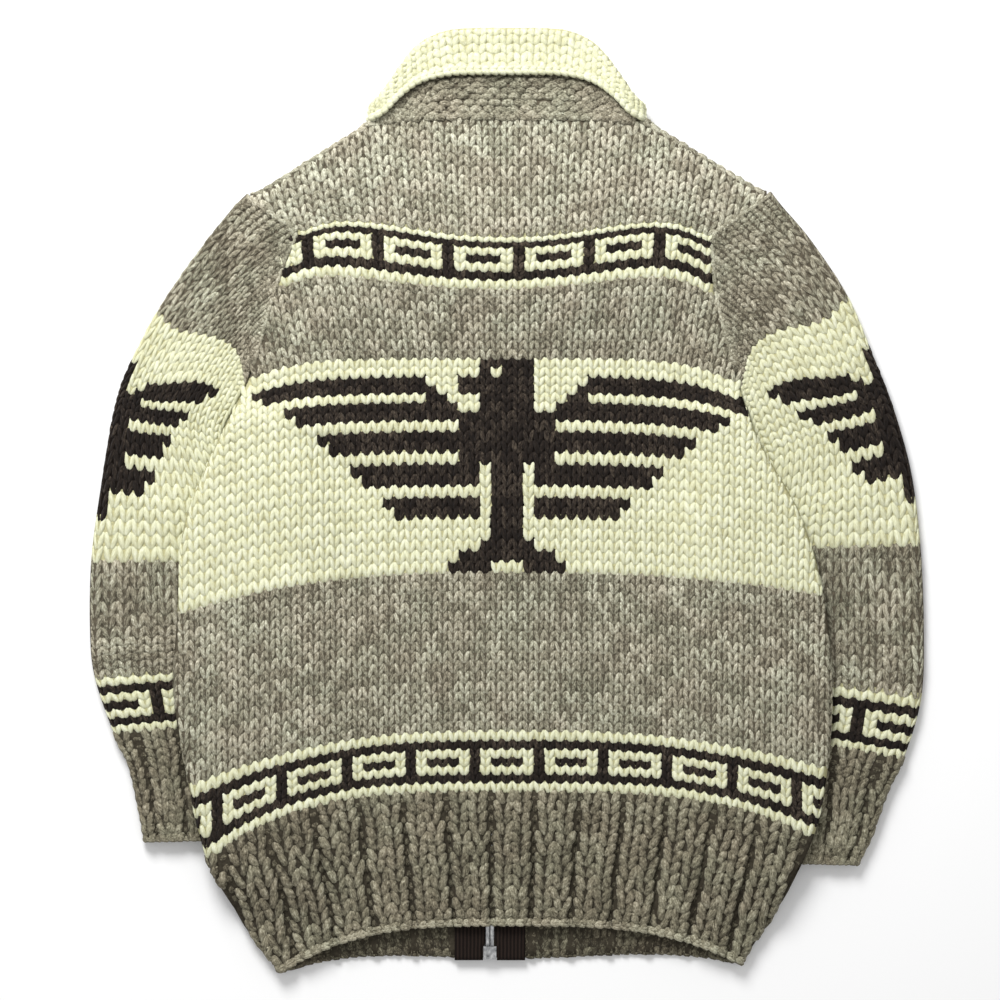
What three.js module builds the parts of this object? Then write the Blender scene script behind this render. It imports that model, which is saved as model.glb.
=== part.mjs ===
// Cowichan cardigan: a bulky hand-knitted jacket with a folded collar and a metal zip.
// It is zipped shut and lies on its front, so the back is on top and the inner half of
// each sleeve is tucked under the body's side.
// Millimetres. +Z is up from the surface, +Y runs towards the neck and +X to the
// wearer's right. Every knitted piece is a wall of WALL thickness round a mid surface.
import * as THREE from 'three';

// ---- driving sizes ----
const WALL = 5;              // thickness of the six-strand knit
const GAP = 0.3;             // between pieces at a seam
const BODY_PITCH = 8;        // from the fronts' mid surface to the back's, with the zip between
const SLEEVE_PITCH = 6.5;    // between a sleeve's two layers
const FOLD_PITCH = 6.2;      // between the collar's stand and its fall
const OVER_SLEEVE = 12.2;    // how far the body's sides ride up over the tucked sleeves
const OVER_COLLAR = 6.2;     // how far the chest rides up over the front of the collar
const NECK_HALF = 0.525;     // share of the shoulder width, each way, that is neck
const SCOOP = 82;            // drop of the front neck below the back neck
const ZIP_X = -14;           // centre line of the zip
const ZIP_OPENING = 6.8;     // from the zip's centre line to each front's edge
const SLIDER_Y = 218;        // middle of the slider

const FRONT_MID = WALL / 2;
const BACK_MID = FRONT_MID + BODY_PITCH;
const FOLD_RADIUS = BODY_PITCH / 2;
const EDGE_INSET = FOLD_RADIUS + WALL / 2;   // from the outline to where an edge starts to turn

// The body's rows from the hem up. sag and the drops bend a row: sag lifts it midway out,
// a drop lowers its end. frontDrop is how much lower the fronts hang at the zip.
const BODY_ROWS = [
  { row: 'hem', mid: -348, left: -190, right: 195, sag: 0, dropLeft: 42, dropRight: 34, power: 3.2, frontDrop: 28 },
  { row: 'midRib', mid: -294, left: -222, right: 228, sag: 0, dropLeft: 52, dropRight: 36, power: 3.2, frontDrop: 21 },
  { row: 'ribTop', mid: -239, left: -248, right: 253, sag: 0, dropLeft: 57, dropRight: 38, power: 3.6, frontDrop: 14 },
  { row: 'lowBand', mid: -189, left: -262, right: 264, sag: 0, dropLeft: 46, dropRight: 31, power: 2.6, frontDrop: 8 },
  { row: 'waist', mid: -124, left: -274, right: 267, sag: 0, dropLeft: 39, dropRight: 23, power: 2.6, frontDrop: 4 },
  { row: 'creamFoot', mid: -59, left: -271, right: 260, sag: 0, dropLeft: 35, dropRight: 19, power: 2.6, frontDrop: 0 },
  { row: 'creamMid', mid: 3, left: -266, right: 242, sag: 0, dropLeft: 29, dropRight: 19, power: 3, frontDrop: 0 },
  { row: 'creamHigh', mid: 65, left: -239, right: 208, sag: 0, dropLeft: 23, dropRight: 20, power: 4, frontDrop: 0 },
  { row: 'creamTop', mid: 116, left: -211, right: 189, sag: 0, dropLeft: 18, dropRight: 22, power: 6, frontDrop: 0 },
  { row: 'boxFoot', mid: 173, left: -189, right: 171, sag: 29, dropLeft: 31, dropRight: 38, power: 6, frontDrop: 0 },
  { row: 'boxTop', mid: 214, left: -172, right: 168, sag: 40, dropLeft: 38, dropRight: 42, power: 5, frontDrop: 0 },
];
const RIB_TOP = 2;          // places in BODY_ROWS
const UNDERARM = 8;
const YOKE = 10;            // the yoke runs on from here to the shoulders
const SHOULDER = { left: -211, leftY: 249, right: 214, rightY: 251, neckY: 311 };

// Each sleeve's rows from the armhole down: its outer fold, its inner fold and how much of
// the armhole's own curve the row still follows.
const SLEEVE_ROWS = {
  left: [
    { row: 'armhole', outX: -211, outY: 249, inX: -211, inY: 97, seam: 1 },
    { row: 'cap', outX: -252, outY: 212, inX: -219, inY: 92, seam: 0.62 },
    { row: 'upperArm', outX: -278, outY: 175, inX: -224, inY: 79, seam: 0.3 },
    { row: 'creamTop', outX: -296, outY: 145, inX: -229, inY: 66, seam: 0.1 },
    { row: 'creamHigh', outX: -314, outY: 105, inX: -231, inY: 52, seam: 0 },
    { row: 'elbowHigh', outX: -325, outY: 69, inX: -226, inY: 30, seam: 0 },
    { row: 'elbow', outX: -335, outY: 11, inX: -204, inY: -6, seam: 0 },
    { row: 'creamFoot', outX: -343, outY: -50, inX: -186, inY: -48, seam: 0 },
    { row: 'forearm', outX: -344, outY: -110, inX: -181, inY: -104, seam: 0 },
    { row: 'boxTop', outX: -340, outY: -147, inX: -185, inY: -136, seam: 0 },
    { row: 'boxFoot', outX: -325, outY: -191, inX: -195, inY: -180, seam: 0 },
    { row: 'cuffHigh', outX: -312, outY: -218, inX: -205, inY: -210, seam: 0 },
    { row: 'cuffLow', outX: -304, outY: -252, inX: -212, inY: -246, seam: 0 },
    { row: 'cuffEdge', outX: -299, outY: -280, inX: -216, inY: -278, seam: 0 },
  ],
  right: [
    { row: 'armhole', outX: 214, outY: 251, inX: 189, inY: 94, seam: 1 },
    { row: 'cap', outX: 241, outY: 223, inX: 198, inY: 86, seam: 0.62 },
    { row: 'upperArm', outX: 265, outY: 196, inX: 202, inY: 73, seam: 0.3 },
    { row: 'creamTop', outX: 288, outY: 158, inX: 205, inY: 60, seam: 0.1 },
    { row: 'creamHigh', outX: 303, outY: 116, inX: 208, inY: 46, seam: 0 },
    { row: 'elbowHigh', outX: 318, outY: 78, inX: 208, inY: 26, seam: 0 },
    { row: 'elbow', outX: 333, outY: 25, inX: 197, inY: -8, seam: 0 },
    { row: 'creamFoot', outX: 341, outY: -36, inX: 184, inY: -40, seam: 0 },
    { row: 'forearm', outX: 344, outY: -104, inX: 180, inY: -100, seam: 0 },
    { row: 'boxTop', outX: 342, outY: -163, inX: 184, inY: -142, seam: 0 },
    { row: 'boxFoot', outX: 328, outY: -212, inX: 192, inY: -188, seam: 0 },
    { row: 'cuffHigh', outX: 315, outY: -238, inX: 202, inY: -218, seam: 0 },
    { row: 'cuffLow', outX: 303, outY: -272, inX: 211, inY: -262, seam: 0 },
    { row: 'cuffEdge', outX: 290, outY: -299, inX: 220, inY: -297, seam: 0 },
  ],
};
const CUFF_TOP = 10;        // place in SLEEVE_ROWS

// The collar's line round the neck from the centre back to the zip. seamY, foldY and edgeY
// are the neck seam, the top fold and the fall's free edge, and turn is how far the band has
// turned under the neck, 0 on the back and 1 on the front.
const COLLAR_LINE = [
  { place: 'centreBack', seamX: 0, seamY: 312, foldX: 0, foldY: 386.3, edgeX: 0, edgeY: 350, turn: 0 },
  { place: 'back', seamX: 22, seamY: 312, foldX: 25, foldY: 386.3, edgeX: 24, edgeY: 350, turn: 0 },
  { place: 'halfBack', seamX: 44, seamY: 312, foldX: 50, foldY: 384, edgeX: 47, edgeY: 349, turn: 0 },
  { place: 'sideBack', seamX: 66, seamY: 312, foldX: 72, foldY: 373, edgeX: 70, edgeY: 343, turn: 0 },
  { place: 'backCorner', seamX: 84, seamY: 312.5, foldX: 88, foldY: 353, edgeX: 87, edgeY: 333, turn: 0 },
  { place: 'turnIn', seamX: 96, seamY: 314, foldX: 98, foldY: 336, edgeX: 97, edgeY: 324, turn: 0 },
  { place: 'turnHigh', seamX: 99, seamY: 316, foldX: 99, foldY: 330, edgeX: 98, edgeY: 320, turn: 0.25 },
  { place: 'turnMid', seamX: 99, seamY: 316, foldX: 99, foldY: 328, edgeX: 98, edgeY: 319, turn: 0.5 },
  { place: 'turnLow', seamX: 99, seamY: 316, foldX: 99, foldY: 328, edgeX: 98, edgeY: 320, turn: 0.75 },
  { place: 'turnOut', seamX: 96, seamY: 314, foldX: 97, foldY: 330, edgeX: 98, edgeY: 320, turn: 1 },
];
// The front half follows the scooped neck: from turnOut to the zip in equal steps.
const COLLAR_FRONT_STEPS = 7;
const COLLAR_FRONT = { stand: 32, fall: 48, endGap: 7 };
const COLLAR_SETTLE = 13;   // how far the back of the collar sinks to the surface beyond the neck

// ---- small helpers ----
const mix = (a, b, t) => a + (b - a) * t;
const clamp01 = (t) => Math.min(1, Math.max(0, t));
const smooth = (x, from, to) => {
  const t = clamp01((x - from) / (to - from));
  return t * t * (3 - 2 * t);
};

// A smooth value between table rows: Catmull-Rom on one column.
function along(table, column, place) {
  const last = table.length - 1;
  const k = Math.min(Math.floor(place), last - 1);
  const t = place - k;
  const at = (i) => table[Math.min(last, Math.max(0, i))][column];
  const [p0, p1, p2, p3] = [at(k - 1), at(k), at(k + 1), at(k + 2)];
  return p1 + 0.5 * t * (p2 - p0 + t * (2 * p0 - 5 * p1 + 4 * p2 - p3 + t * (3 * (p1 - p2) + p3 - p0)));
}

// How far the body is lifted off the surface by what lies under it.
function rideUp(x, y) {
  const arm = x < 0 ? SLEEVE_ROWS.left[0].inY : SLEEVE_ROWS.right[0].inY;
  const overSleeve = smooth(Math.abs(x), 118, 176) * smooth(arm - y, 0, 37) * smooth(y, -352, -302);
  const overCollar = smooth(y, 110, 172) * (1 - smooth(Math.abs(x), 122, 180));
  return OVER_SLEEVE * overSleeve + OVER_COLLAR * overCollar;
}

// The back bulges a little more over the slider.
function overSlider(x, y) {
  const away = Math.hypot(x - ZIP_X, y - SLIDER_Y);
  return 3.4 * (1 - smooth(away, 14, 48));
}

// ---- the body's plan: u runs -1 to 1 across, v counts BODY_ROWS and then the yoke ----
function topLine(u, isFront) {
  const x = mix(SHOULDER.left, SHOULDER.right, (u + 1) / 2);
  const tipY = u < 0 ? SHOULDER.leftY : SHOULDER.rightY;
  const out = Math.abs(u);
  if (out >= NECK_HALF) {
    return new THREE.Vector2(x, mix(SHOULDER.neckY, tipY, (out - NECK_HALF) / (1 - NECK_HALF)));
  }
  const scoop = isFront ? SCOOP * Math.cos((Math.PI / 2) * (out / NECK_HALF)) ** 0.8 : 0;
  return new THREE.Vector2(x, SHOULDER.neckY - scoop);
}

function bodyPlan(u, v, isFront) {
  const place = Math.min(v, YOKE);
  const value = (column) => along(BODY_ROWS, column, place);
  const x = mix(value('left'), value('right'), (u + 1) / 2);
  const drop = u < 0 ? value('dropLeft') : value('dropRight');
  const hang = isFront ? value('frontDrop') * (1 - u * u) : 0;
  const y = value('mid') + value('sag') * u * u - drop * Math.abs(u) ** value('power') - hang;
  const point = new THREE.Vector2(x, y);
  return v > YOKE ? point.lerp(topLine(u, isFront), v - YOKE) : point;
}

// ---- a wall of cloth round a grid of mid-surface points ----
// Which way a line of points runs at one of them; an end looks two points in.
function heading(pointAt, k, count, isRing) {
  if (isRing) return pointAt((k + 1) % count).clone().sub(pointAt((k + count - 1) % count));
  if (k > 0 && k < count - 1) return pointAt(k + 1).clone().sub(pointAt(k - 1));
  const step = k === 0 ? 1 : -1;
  const way = pointAt(k + step).clone().multiplyScalar(4);
  way.addScaledVector(pointAt(k), -3).sub(pointAt(k + 2 * step));
  return way.multiplyScalar(step);
}

// The wall of rows first to last of a grid. The whole grid sets which way the wall faces, so
// two pieces cut from one grid meet squarely.
function clothWall(grid, { isRing = false, first = 0, last = grid.length - 1 } = {}) {
  const rows = last - first + 1;
  const columns = grid[0].length;
  const positions = [];
  for (const side of [1, -1]) {
    for (let i = first; i <= last; i++) {
      for (let j = 0; j < columns; j++) {
        const alongRow = heading((k) => grid[i][k], j, columns, isRing);
        const alongColumn = heading((k) => grid[k][j], i, grid.length, false);
        const normal = alongRow.cross(alongColumn).normalize();
        const point = grid[i][j].clone().addScaledVector(normal, (side * WALL) / 2);
        positions.push(point.x, point.y, point.z);
      }
    }
  }
  const under = rows * columns;
  const index = [];
  const quad = (a, b, c, d) => index.push(a, b, c, a, c, d);
  const id = (i, j) => i * columns + (j % columns);
  const cells = isRing ? columns : columns - 1;
  for (let i = 0; i < rows - 1; i++) {
    for (let j = 0; j < cells; j++) {
      const [a, b, c, d] = [id(i, j), id(i, j + 1), id(i + 1, j + 1), id(i + 1, j)];
      quad(a, b, c, d);
      quad(under + d, under + c, under + b, under + a);
    }
  }
  const closeEdge = (a, b) => quad(b, a, under + a, under + b);
  for (let j = 0; j < cells; j++) {
    closeEdge(id(0, j), id(0, j + 1));
    closeEdge(id(rows - 1, j + 1), id(rows - 1, j));
  }
  if (!isRing) {
    for (let i = 0; i < rows - 1; i++) {
      closeEdge(id(i + 1, 0), id(i, 0));
      closeEdge(id(i, columns - 1), id(i + 1, columns - 1));
    }
  }
  const geometry = new THREE.BufferGeometry();
  geometry.setAttribute('position', new THREE.Float32BufferAttribute(positions, 3));
  geometry.setIndex(index);
  return geometry;
}

// ---- body panels ----
const TURN_STEPS = [0, 1 / 3, 2 / 3, 1];
const TURN_LENGTH = (Math.PI / 2) * FOLD_RADIUS - 2 * GAP;

// Where a panel's edge has got to after a length of cloth, turning by share of a right angle.
function turnEdge(length, share) {
  if (share < 0.02) return { out: length, down: 0 };
  const radius = FOLD_RADIUS / share;
  return { out: radius * Math.sin(length / radius), down: radius * (1 - Math.cos(length / radius)) };
}

// Lines across a panel: each is a share of the way over, with a turned edge where one is due.
function panelColumns(isFront, side, cells) {
  const flat = (count) => Array.from({ length: count + 1 }, (_, i) => ({ share: i / count, turn: 0, edge: 0 }));
  const turned = (edge) => TURN_STEPS.slice(1).map((turn) => ({ share: edge < 0 ? 0 : 1, turn, edge }));
  const columns = flat(cells);
  if (!isFront || side < 0) columns.unshift(...turned(-1).reverse());
  if (!isFront || side > 0) columns.push(...turned(1));
  return columns;
}

// One point of a panel's mid surface. side is 0 on the back, -1 and 1 on the left and right front.
function panelPoint(column, line, side) {
  const isFront = side !== 0;
  const leftEdge = bodyPlan(-1, line.v, isFront).x;
  const rightEdge = bodyPlan(1, line.v, isFront).x;
  const start = side > 0 ? ZIP_X + ZIP_OPENING : leftEdge + EDGE_INSET;
  const end = side < 0 ? ZIP_X - ZIP_OPENING : rightEdge - EDGE_INSET;
  const x = mix(start, end, column.share);
  const u = (2 * (x - leftEdge)) / (rightEdge - leftEdge) - 1;
  const base = bodyPlan(u, line.v, isFront);
  if (line.v > YOKE) base.y -= EDGE_INSET * (line.v - YOKE);
  const level = rideUp(base.x, base.y) + (isFront ? FRONT_MID : BACK_MID + overSlider(base.x, base.y));
  const inward = isFront ? -1 : 1;
  const sideTurn = turnEdge(column.turn * TURN_LENGTH, 1 - smooth(line.v, UNDERARM - 0.7, UNDERARM));
  const isShoulder = smooth(Math.abs(u), NECK_HALF, NECK_HALF + 0.07);
  const topTurn = turnEdge(line.turn * TURN_LENGTH, isShoulder);
  return new THREE.Vector3(
    base.x + column.edge * sideTurn.out,
    base.y + topTurn.out,
    level - inward * (sideTurn.down + topTurn.down),
  );
}

const SEAM_STEP = 0.004;    // half a seam's gap, counted in table rows
const RIB_LINES = [0, 0.4, 0.8, 1.2, 1.6, RIB_TOP - SEAM_STEP];
const BODY_LINES = [RIB_TOP + SEAM_STEP, 2.5, 3, 3.5, 4, 4.5, 5, 5.5, 6, 6.5, 7, 7.5, 8, 8.13, 8.4, 8.7, 9, 9.5, 10, 10.35, 10.7, 11];
const LINES = [...RIB_LINES, ...BODY_LINES].map((v) => ({ v, turn: 0 }))
  .concat(TURN_STEPS.slice(1).map((turn) => ({ v: YOKE + 1, turn })));
const RIB = { first: 0, last: RIB_LINES.length - 1 };
const ABOVE_RIB = { first: RIB_LINES.length };
const BACK_CELLS = 14;
const FRONT_CELLS = 7;

function panelGrid(side) {
  const columns = panelColumns(side !== 0, side, side === 0 ? BACK_CELLS : FRONT_CELLS);
  return LINES.map((line) => columns.map((column) => panelPoint(column, line, side)));
}

// ---- sleeves ----
const FOLD_STEPS = 4;
const armholeLines = LINES.filter((line) => line.turn === 0 && line.v > UNDERARM + 0.1).reverse();

// A ring of the sleeve: over the top from the outer fold to the inner fold and back beneath.
function sleeveRing(row, sideName) {
  const hand = sideName === 'left' ? -1 : 1;
  const edgeColumn = { share: hand < 0 ? 0 : 1, turn: 1, edge: hand };
  const seam = armholeLines.map((line) => panelPoint(edgeColumn, line, 0));
  const lowSeam = armholeLines.map((line) => panelPoint(edgeColumn, line, hand));
  const lengths = [0];
  for (let i = 1; i < seam.length; i++) lengths.push(lengths[i - 1] + seam[i].distanceTo(seam[i - 1]));
  const total = lengths[lengths.length - 1];

  const outer = new THREE.Vector2(row.outX, row.outY);
  const inner = new THREE.Vector2(row.inX, row.inY);
  const width = outer.distanceTo(inner);
  const radius = mix(SLEEVE_PITCH, BODY_PITCH, row.seam) / 2;
  const inset = (SLEEVE_PITCH / 2 + WALL / 2) / width;
  const layer = (points, level) => points.map((point, i) => {
    const straight = outer.clone().lerp(inner, mix(inset, 1 - inset, lengths[i] / total));
    return new THREE.Vector3(
      mix(straight.x, point.x + hand * 2.5 * GAP, row.seam),
      mix(straight.y, point.y, row.seam),
      mix(level, point.z, row.seam),
    );
  });
  const top = layer(seam, WALL / 2 + SLEEVE_PITCH);
  const low = layer(lowSeam, WALL / 2);

  // A fold swings from one layer's end to the other's, bulging outwards.
  const fold = (from, to, direction) => {
    const points = [];
    for (let k = 1; k < FOLD_STEPS; k++) {
      const angle = (Math.PI * k) / FOLD_STEPS;
      const point = from.clone().lerp(to, (1 - Math.cos(angle)) / 2);
      points.push(point.addScaledVector(direction, radius * Math.sin(angle)));
    }
    return points;
  };
  const outward = outer.clone().sub(inner).normalize();
  const outerWay = new THREE.Vector3(outward.x, outward.y, 0).lerp(new THREE.Vector3(hand * 0.7, 1, 0), row.seam).normalize();
  const innerWay = new THREE.Vector3(-outward.x, -outward.y, 0);
  if (row.seam > 0) innerWay.lerp(new THREE.Vector3(hand, -0.4, 0), row.seam).normalize();
  const end = top.length - 1;
  const ring = [
    ...top,
    ...fold(top[end], low[end], innerWay),
    ...low.reverse(),
    ...fold(low[end], top[0], outerWay),
  ];
  return hand < 0 ? ring : ring.reverse();
}

// The whole tube from the cuff's edge up, with a doubled ring where the cuff is joined on.
function sleeveGrid(sideName) {
  const rings = SLEEVE_ROWS[sideName].map((row) => sleeveRing(row, sideName));
  const share = (3 * GAP) / rings[CUFF_TOP][0].distanceTo(rings[CUFF_TOP + 1][0]);
  const cuffRing = rings[CUFF_TOP].map((point, i) => point.clone().lerp(rings[CUFF_TOP + 1][i], share));
  rings.splice(CUFF_TOP + 1, 0, cuffRing);
  return rings.reverse();
}

// ---- collar ----
function collarStations(hand) {
  const stations = COLLAR_LINE.map((row) => ({ ...row }));
  const last = COLLAR_LINE[COLLAR_LINE.length - 1];
  const zipEdge = ZIP_X + hand * ZIP_OPENING;
  for (let k = 1; k <= COLLAR_FRONT_STEPS; k++) {
    const t = k / COLLAR_FRONT_STEPS;
    const seamX = mix(last.seamX, zipEdge * hand, t);
    const u = (2 * (seamX * hand - SHOULDER.left)) / (SHOULDER.right - SHOULDER.left) - 1;
    const seamY = topLine(u, true).y + 1;
    const down = smooth(t, 0, 0.45);
    stations.push({
      seamX,
      seamY,
      foldX: mix(last.foldX, seamX, 0.75 + 0.25 * t),
      foldY: seamY + mix(last.foldY - last.seamY, COLLAR_FRONT.stand, down),
      edgeX: seamX + 16 * Math.sin(Math.PI * t) + COLLAR_FRONT.endGap * t,
      edgeY: seamY + mix(6, COLLAR_FRONT.stand - COLLAR_FRONT.fall, down),
      turn: 1,
    });
  }
  return stations;
}

// Profile points from the neck seam up the stand, over the fold and down the fall.
function collarProfile(station, hand) {
  const angle = Math.PI * station.turn;
  const out = new THREE.Vector3(hand * Math.sin(angle), 0, Math.cos(angle));
  const onBack = 1 - smooth(station.turn, 0, 0.5);
  const middle = BACK_MID - FOLD_RADIUS + OVER_COLLAR;
  const sinkShare = onBack * (1 - smooth(station.seamX, 55, 99));
  const place = (x, y, depth) => {
    const sink = COLLAR_SETTLE * sinkShare * smooth(y, SHOULDER.neckY + 2, 376);
    return new THREE.Vector3(x * hand, y, middle - sink).addScaledVector(out, FOLD_RADIUS + depth);
  };
  const { seamX, seamY, foldX, foldY, edgeX, edgeY } = station;
  const straight = foldY - FOLD_PITCH / 2;
  const points = [];
  for (const t of [0, 0.35, 0.7, 1]) {
    points.push(place(mix(seamX, foldX, t), mix(seamY, straight, t), 0));
  }
  for (const t of [0.25, 0.5, 0.75]) {
    const y = straight + (FOLD_PITCH / 2) * Math.sin(Math.PI * t);
    points.push(place(foldX, y, (FOLD_PITCH / 2) * (1 - Math.cos(Math.PI * t))));
  }
  for (const t of [0, 0.5, 1]) {
    points.push(place(mix(foldX, edgeX, t), mix(straight, edgeY, t), FOLD_PITCH));
  }
  return points;
}

function collarGrid() {
  const leftSide = collarStations(-1).slice(1).reverse().map((station) => collarProfile(station, -1));
  const rightSide = collarStations(1).map((station) => collarProfile(station, 1));
  const stations = [...leftSide, ...rightSide];
  return stations[0].map((_, j) => stations.map((station) => station[j]));
}

// ---- zip ----
const TAPE = { inner: 3.9, outer: 29, thick: 1, foot: -379, top: 223, cutBack: 5.7, cutTo: -366 };
const TEETH = { inner: GAP / 2, outer: 3.5, thick: 3, foot: -350, top: SLIDER_Y - 10 };
const PIN = { inner: 0.5, outer: 3.1, thick: 2.8, foot: -367, top: -350.4 };
const BOX = { half: 5.3, thick: 5, foot: -378, top: -367.4 };
const CHAIN_LEVEL = WALL + 2 * GAP + TAPE.thick / 2;   // of tape and teeth above the fronts' low face
const LINE_STEP = 22;

// Heights along the zip, one at least every LINE_STEP.
function zipLines(foot, top) {
  const steps = Math.ceil((top - foot) / LINE_STEP);
  return Array.from({ length: steps + 1 }, (_, i) => mix(foot, top, i / steps));
}

// A flat strip along the zip that follows the fronts up and down.
function zipStrip(lines, spanAt, thick) {
  const positions = [];
  for (const y of lines) {
    const [from, to] = spanAt(y);
    for (const [x, up] of [[from, 1], [to, 1], [to, -1], [from, -1]]) {
      positions.push(ZIP_X + x, y, CHAIN_LEVEL + rideUp(ZIP_X, y) + (up * thick) / 2);
    }
  }
  const index = [];
  for (let i = 0; i < lines.length - 1; i++) {
    for (let k = 0; k < 4; k++) {
      const [a, b] = [4 * i + k, 4 * i + ((k + 1) % 4)];
      index.push(a, b, b + 4, a, b + 4, a + 4);
    }
  }
  const end = 4 * (lines.length - 1);
  index.push(0, 3, 2, 0, 2, 1, end, end + 1, end + 2, end, end + 2, end + 3);
  const geometry = new THREE.BufferGeometry();
  geometry.setAttribute('position', new THREE.Float32BufferAttribute(positions, 3));
  geometry.setIndex(index);
  return geometry;
}

// One side's strip: hand is -1 or 1, inner and outer are measured from the centre line.
function sideStrip(size, hand) {
  const span = () => (hand < 0 ? [-size.outer, -size.inner] : [size.inner, size.outer]);
  return zipStrip(zipLines(size.foot, size.top), span, size.thick);
}

// A tape: its inner corner is cut back round the box at the foot.
function zipTape(hand) {
  const lines = [TAPE.foot, TAPE.cutTo, ...zipLines(TAPE.cutTo + 2, TAPE.top)];
  const span = (y) => {
    const inner = y <= TAPE.cutTo ? TAPE.cutBack : TAPE.inner;
    return hand < 0 ? [-TAPE.outer, -inner] : [inner, TAPE.outer];
  };
  return zipStrip(lines, span, TAPE.thick);
}

// The slider's two plates, joined by the post at its top end, in section along the zip, and
// the bail under its outer plate that holds the pull tab.
const SLIDER = { width: 11.6, length: 18, plate: 1.6, half: 4.2, post: 3 };
const BAIL = { width: 2.2, reach: 4.6, slope: 1.2, drop: 3.3, thick: 1.1 };
const TAB = { width: 7.4, length: 32, thick: 1.4, corner: 1.2, slotWidth: 4.2, slotLength: 8.5, bar: 1.4 };
const SLIDER_LEVEL = CHAIN_LEVEL + OVER_COLLAR;
const SLIDER_FOOT = SLIDER_LEVEL - SLIDER.half;
const TAB_AXIS = { y: SLIDER_Y, z: SLIDER_FOOT - (BAIL.drop - BAIL.thick + GAP) / 2 };

// Extrudes a section drawn in Y and Z across the zip.
function acrossZip(points, width) {
  const shape = new THREE.Shape(points.map(([y, z]) => new THREE.Vector2(y, z)));
  const geometry = new THREE.ExtrudeGeometry(shape, { depth: width, bevelEnabled: false });
  const [x, y, z] = [new THREE.Vector3(1, 0, 0), new THREE.Vector3(0, 1, 0), new THREE.Vector3(0, 0, 1)];
  geometry.applyMatrix4(new THREE.Matrix4().makeBasis(y, z, x));
  return geometry.translate(-width / 2, 0, 0);
}

function sliderPlates() {
  const { length, plate, half, post } = SLIDER;
  const end = length / 2;
  const [neck, lip] = [end - post, half - plate];
  const outline = [[-end, -half], [end, -half], [end, half], [-end, half], [-end, lip], [neck, lip], [neck, -lip], [-end, -lip]];
  return acrossZip(outline, SLIDER.width);
}

function sliderBail() {
  const { reach, slope, drop, thick } = BAIL;
  const low = reach - slope;
  const outer = [[-reach, 0], [-low, -drop], [low, -drop], [reach, 0]];
  const inner = [[reach - thick, 0], [low - thick / 2, thick - drop], [thick / 2 - low, thick - drop], [thick - reach, 0]];
  return acrossZip([...outer, ...inner], BAIL.width);
}

// The tab: a plate with a slot whose end bar sits in the bail, drawn about that bar.
function pullTab() {
  const { width, length, thick, corner, slotWidth, slotLength, bar } = TAB;
  const [w, top, foot] = [width / 2, bar / 2, bar / 2 - length];
  const shape = new THREE.Shape();
  shape.moveTo(-w + corner, foot);
  shape.absarc(w - corner, foot + corner, corner, -Math.PI / 2, 0);
  shape.absarc(w - corner / 2, top - corner / 2, corner / 2, 0, Math.PI / 2);
  shape.absarc(-w + corner / 2, top - corner / 2, corner / 2, Math.PI / 2, Math.PI);
  shape.absarc(-w + corner, foot + corner, corner, Math.PI, 1.5 * Math.PI);
  const slot = [[-1, 0], [-1, -1], [1, -1], [1, 0]].map(([across, down]) => (
    new THREE.Vector2((across * slotWidth) / 2, -bar / 2 + down * slotLength)));
  shape.holes.push(new THREE.Path(slot));
  const geometry = new THREE.ExtrudeGeometry(shape, { depth: thick, bevelEnabled: false, curveSegments: 3 });
  return geometry.translate(0, 0, -thick / 2);
}

// ---- materials ----
const finish = (color, roughness, metalness = 0) => new THREE.MeshStandardMaterial({ color, roughness, metalness });
const heatherWool = finish(0x968c7d, 0.95);
const darkHeatherWool = finish(0x83776a, 0.95);
const creamWool = finish(0xf0eecd, 0.95);
const brownTape = finish(0x4a3028, 0.85);
const silverMetal = finish(0xc4c4c2, 0.32, 1);

// ---- the garment ----
const garment = new THREE.Group();
function add(name, geometry, material) {
  const mesh = new THREE.Mesh(geometry, material);
  mesh.name = name;
  garment.add(mesh);
  return mesh;
}

const backGrid = panelGrid(0);
add('back', clothWall(backGrid, ABOVE_RIB), heatherWool);
add('back_rib', clothWall(backGrid, RIB), darkHeatherWool);
for (const [name, hand] of [['left', -1], ['right', 1]]) {
  const frontGrid = panelGrid(hand);
  add(`front_${name}`, clothWall(frontGrid, ABOVE_RIB), heatherWool);
  add(`front_rib_${name}`, clothWall(frontGrid, RIB), darkHeatherWool);
  const tube = sleeveGrid(name);
  const cuffRings = tube.length - 1 - CUFF_TOP;
  add(`sleeve_${name}`, clothWall(tube, { isRing: true, first: cuffRings }), heatherWool);
  add(`cuff_${name}`, clothWall(tube, { isRing: true, last: cuffRings - 1 }), darkHeatherWool);
}
add('collar', clothWall(collarGrid()), creamWool);

for (const [name, hand] of [['left', -1], ['right', 1]]) {
  add(`zip_tape_${name}`, zipTape(hand), brownTape);
  add(`zip_teeth_${name}`, sideStrip(TEETH, hand), silverMetal);
  add(`zip_pin_${name}`, sideStrip(PIN, hand), silverMetal);
}
add('zip_box', zipStrip([BOX.foot, BOX.top], () => [-BOX.half, BOX.half], BOX.thick), silverMetal);
add('zip_slider', sliderPlates(), silverMetal).position.set(ZIP_X, SLIDER_Y, SLIDER_LEVEL);
add('zip_bail', sliderBail(), silverMetal).position.set(ZIP_X, SLIDER_Y, SLIDER_FOOT - GAP);
add('zip_pull_tab', pullTab(), silverMetal).position.set(ZIP_X, TAB_AXIS.y, TAB_AXIS.z);

export default garment;
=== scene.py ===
# Cowichan cardigan: a bulky hand-knitted jacket, zipped shut and lying on its front.
# Sizes are millimetres until a mesh is filled. +Y runs to the neck, +X to the wearer's right.
import math

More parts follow.
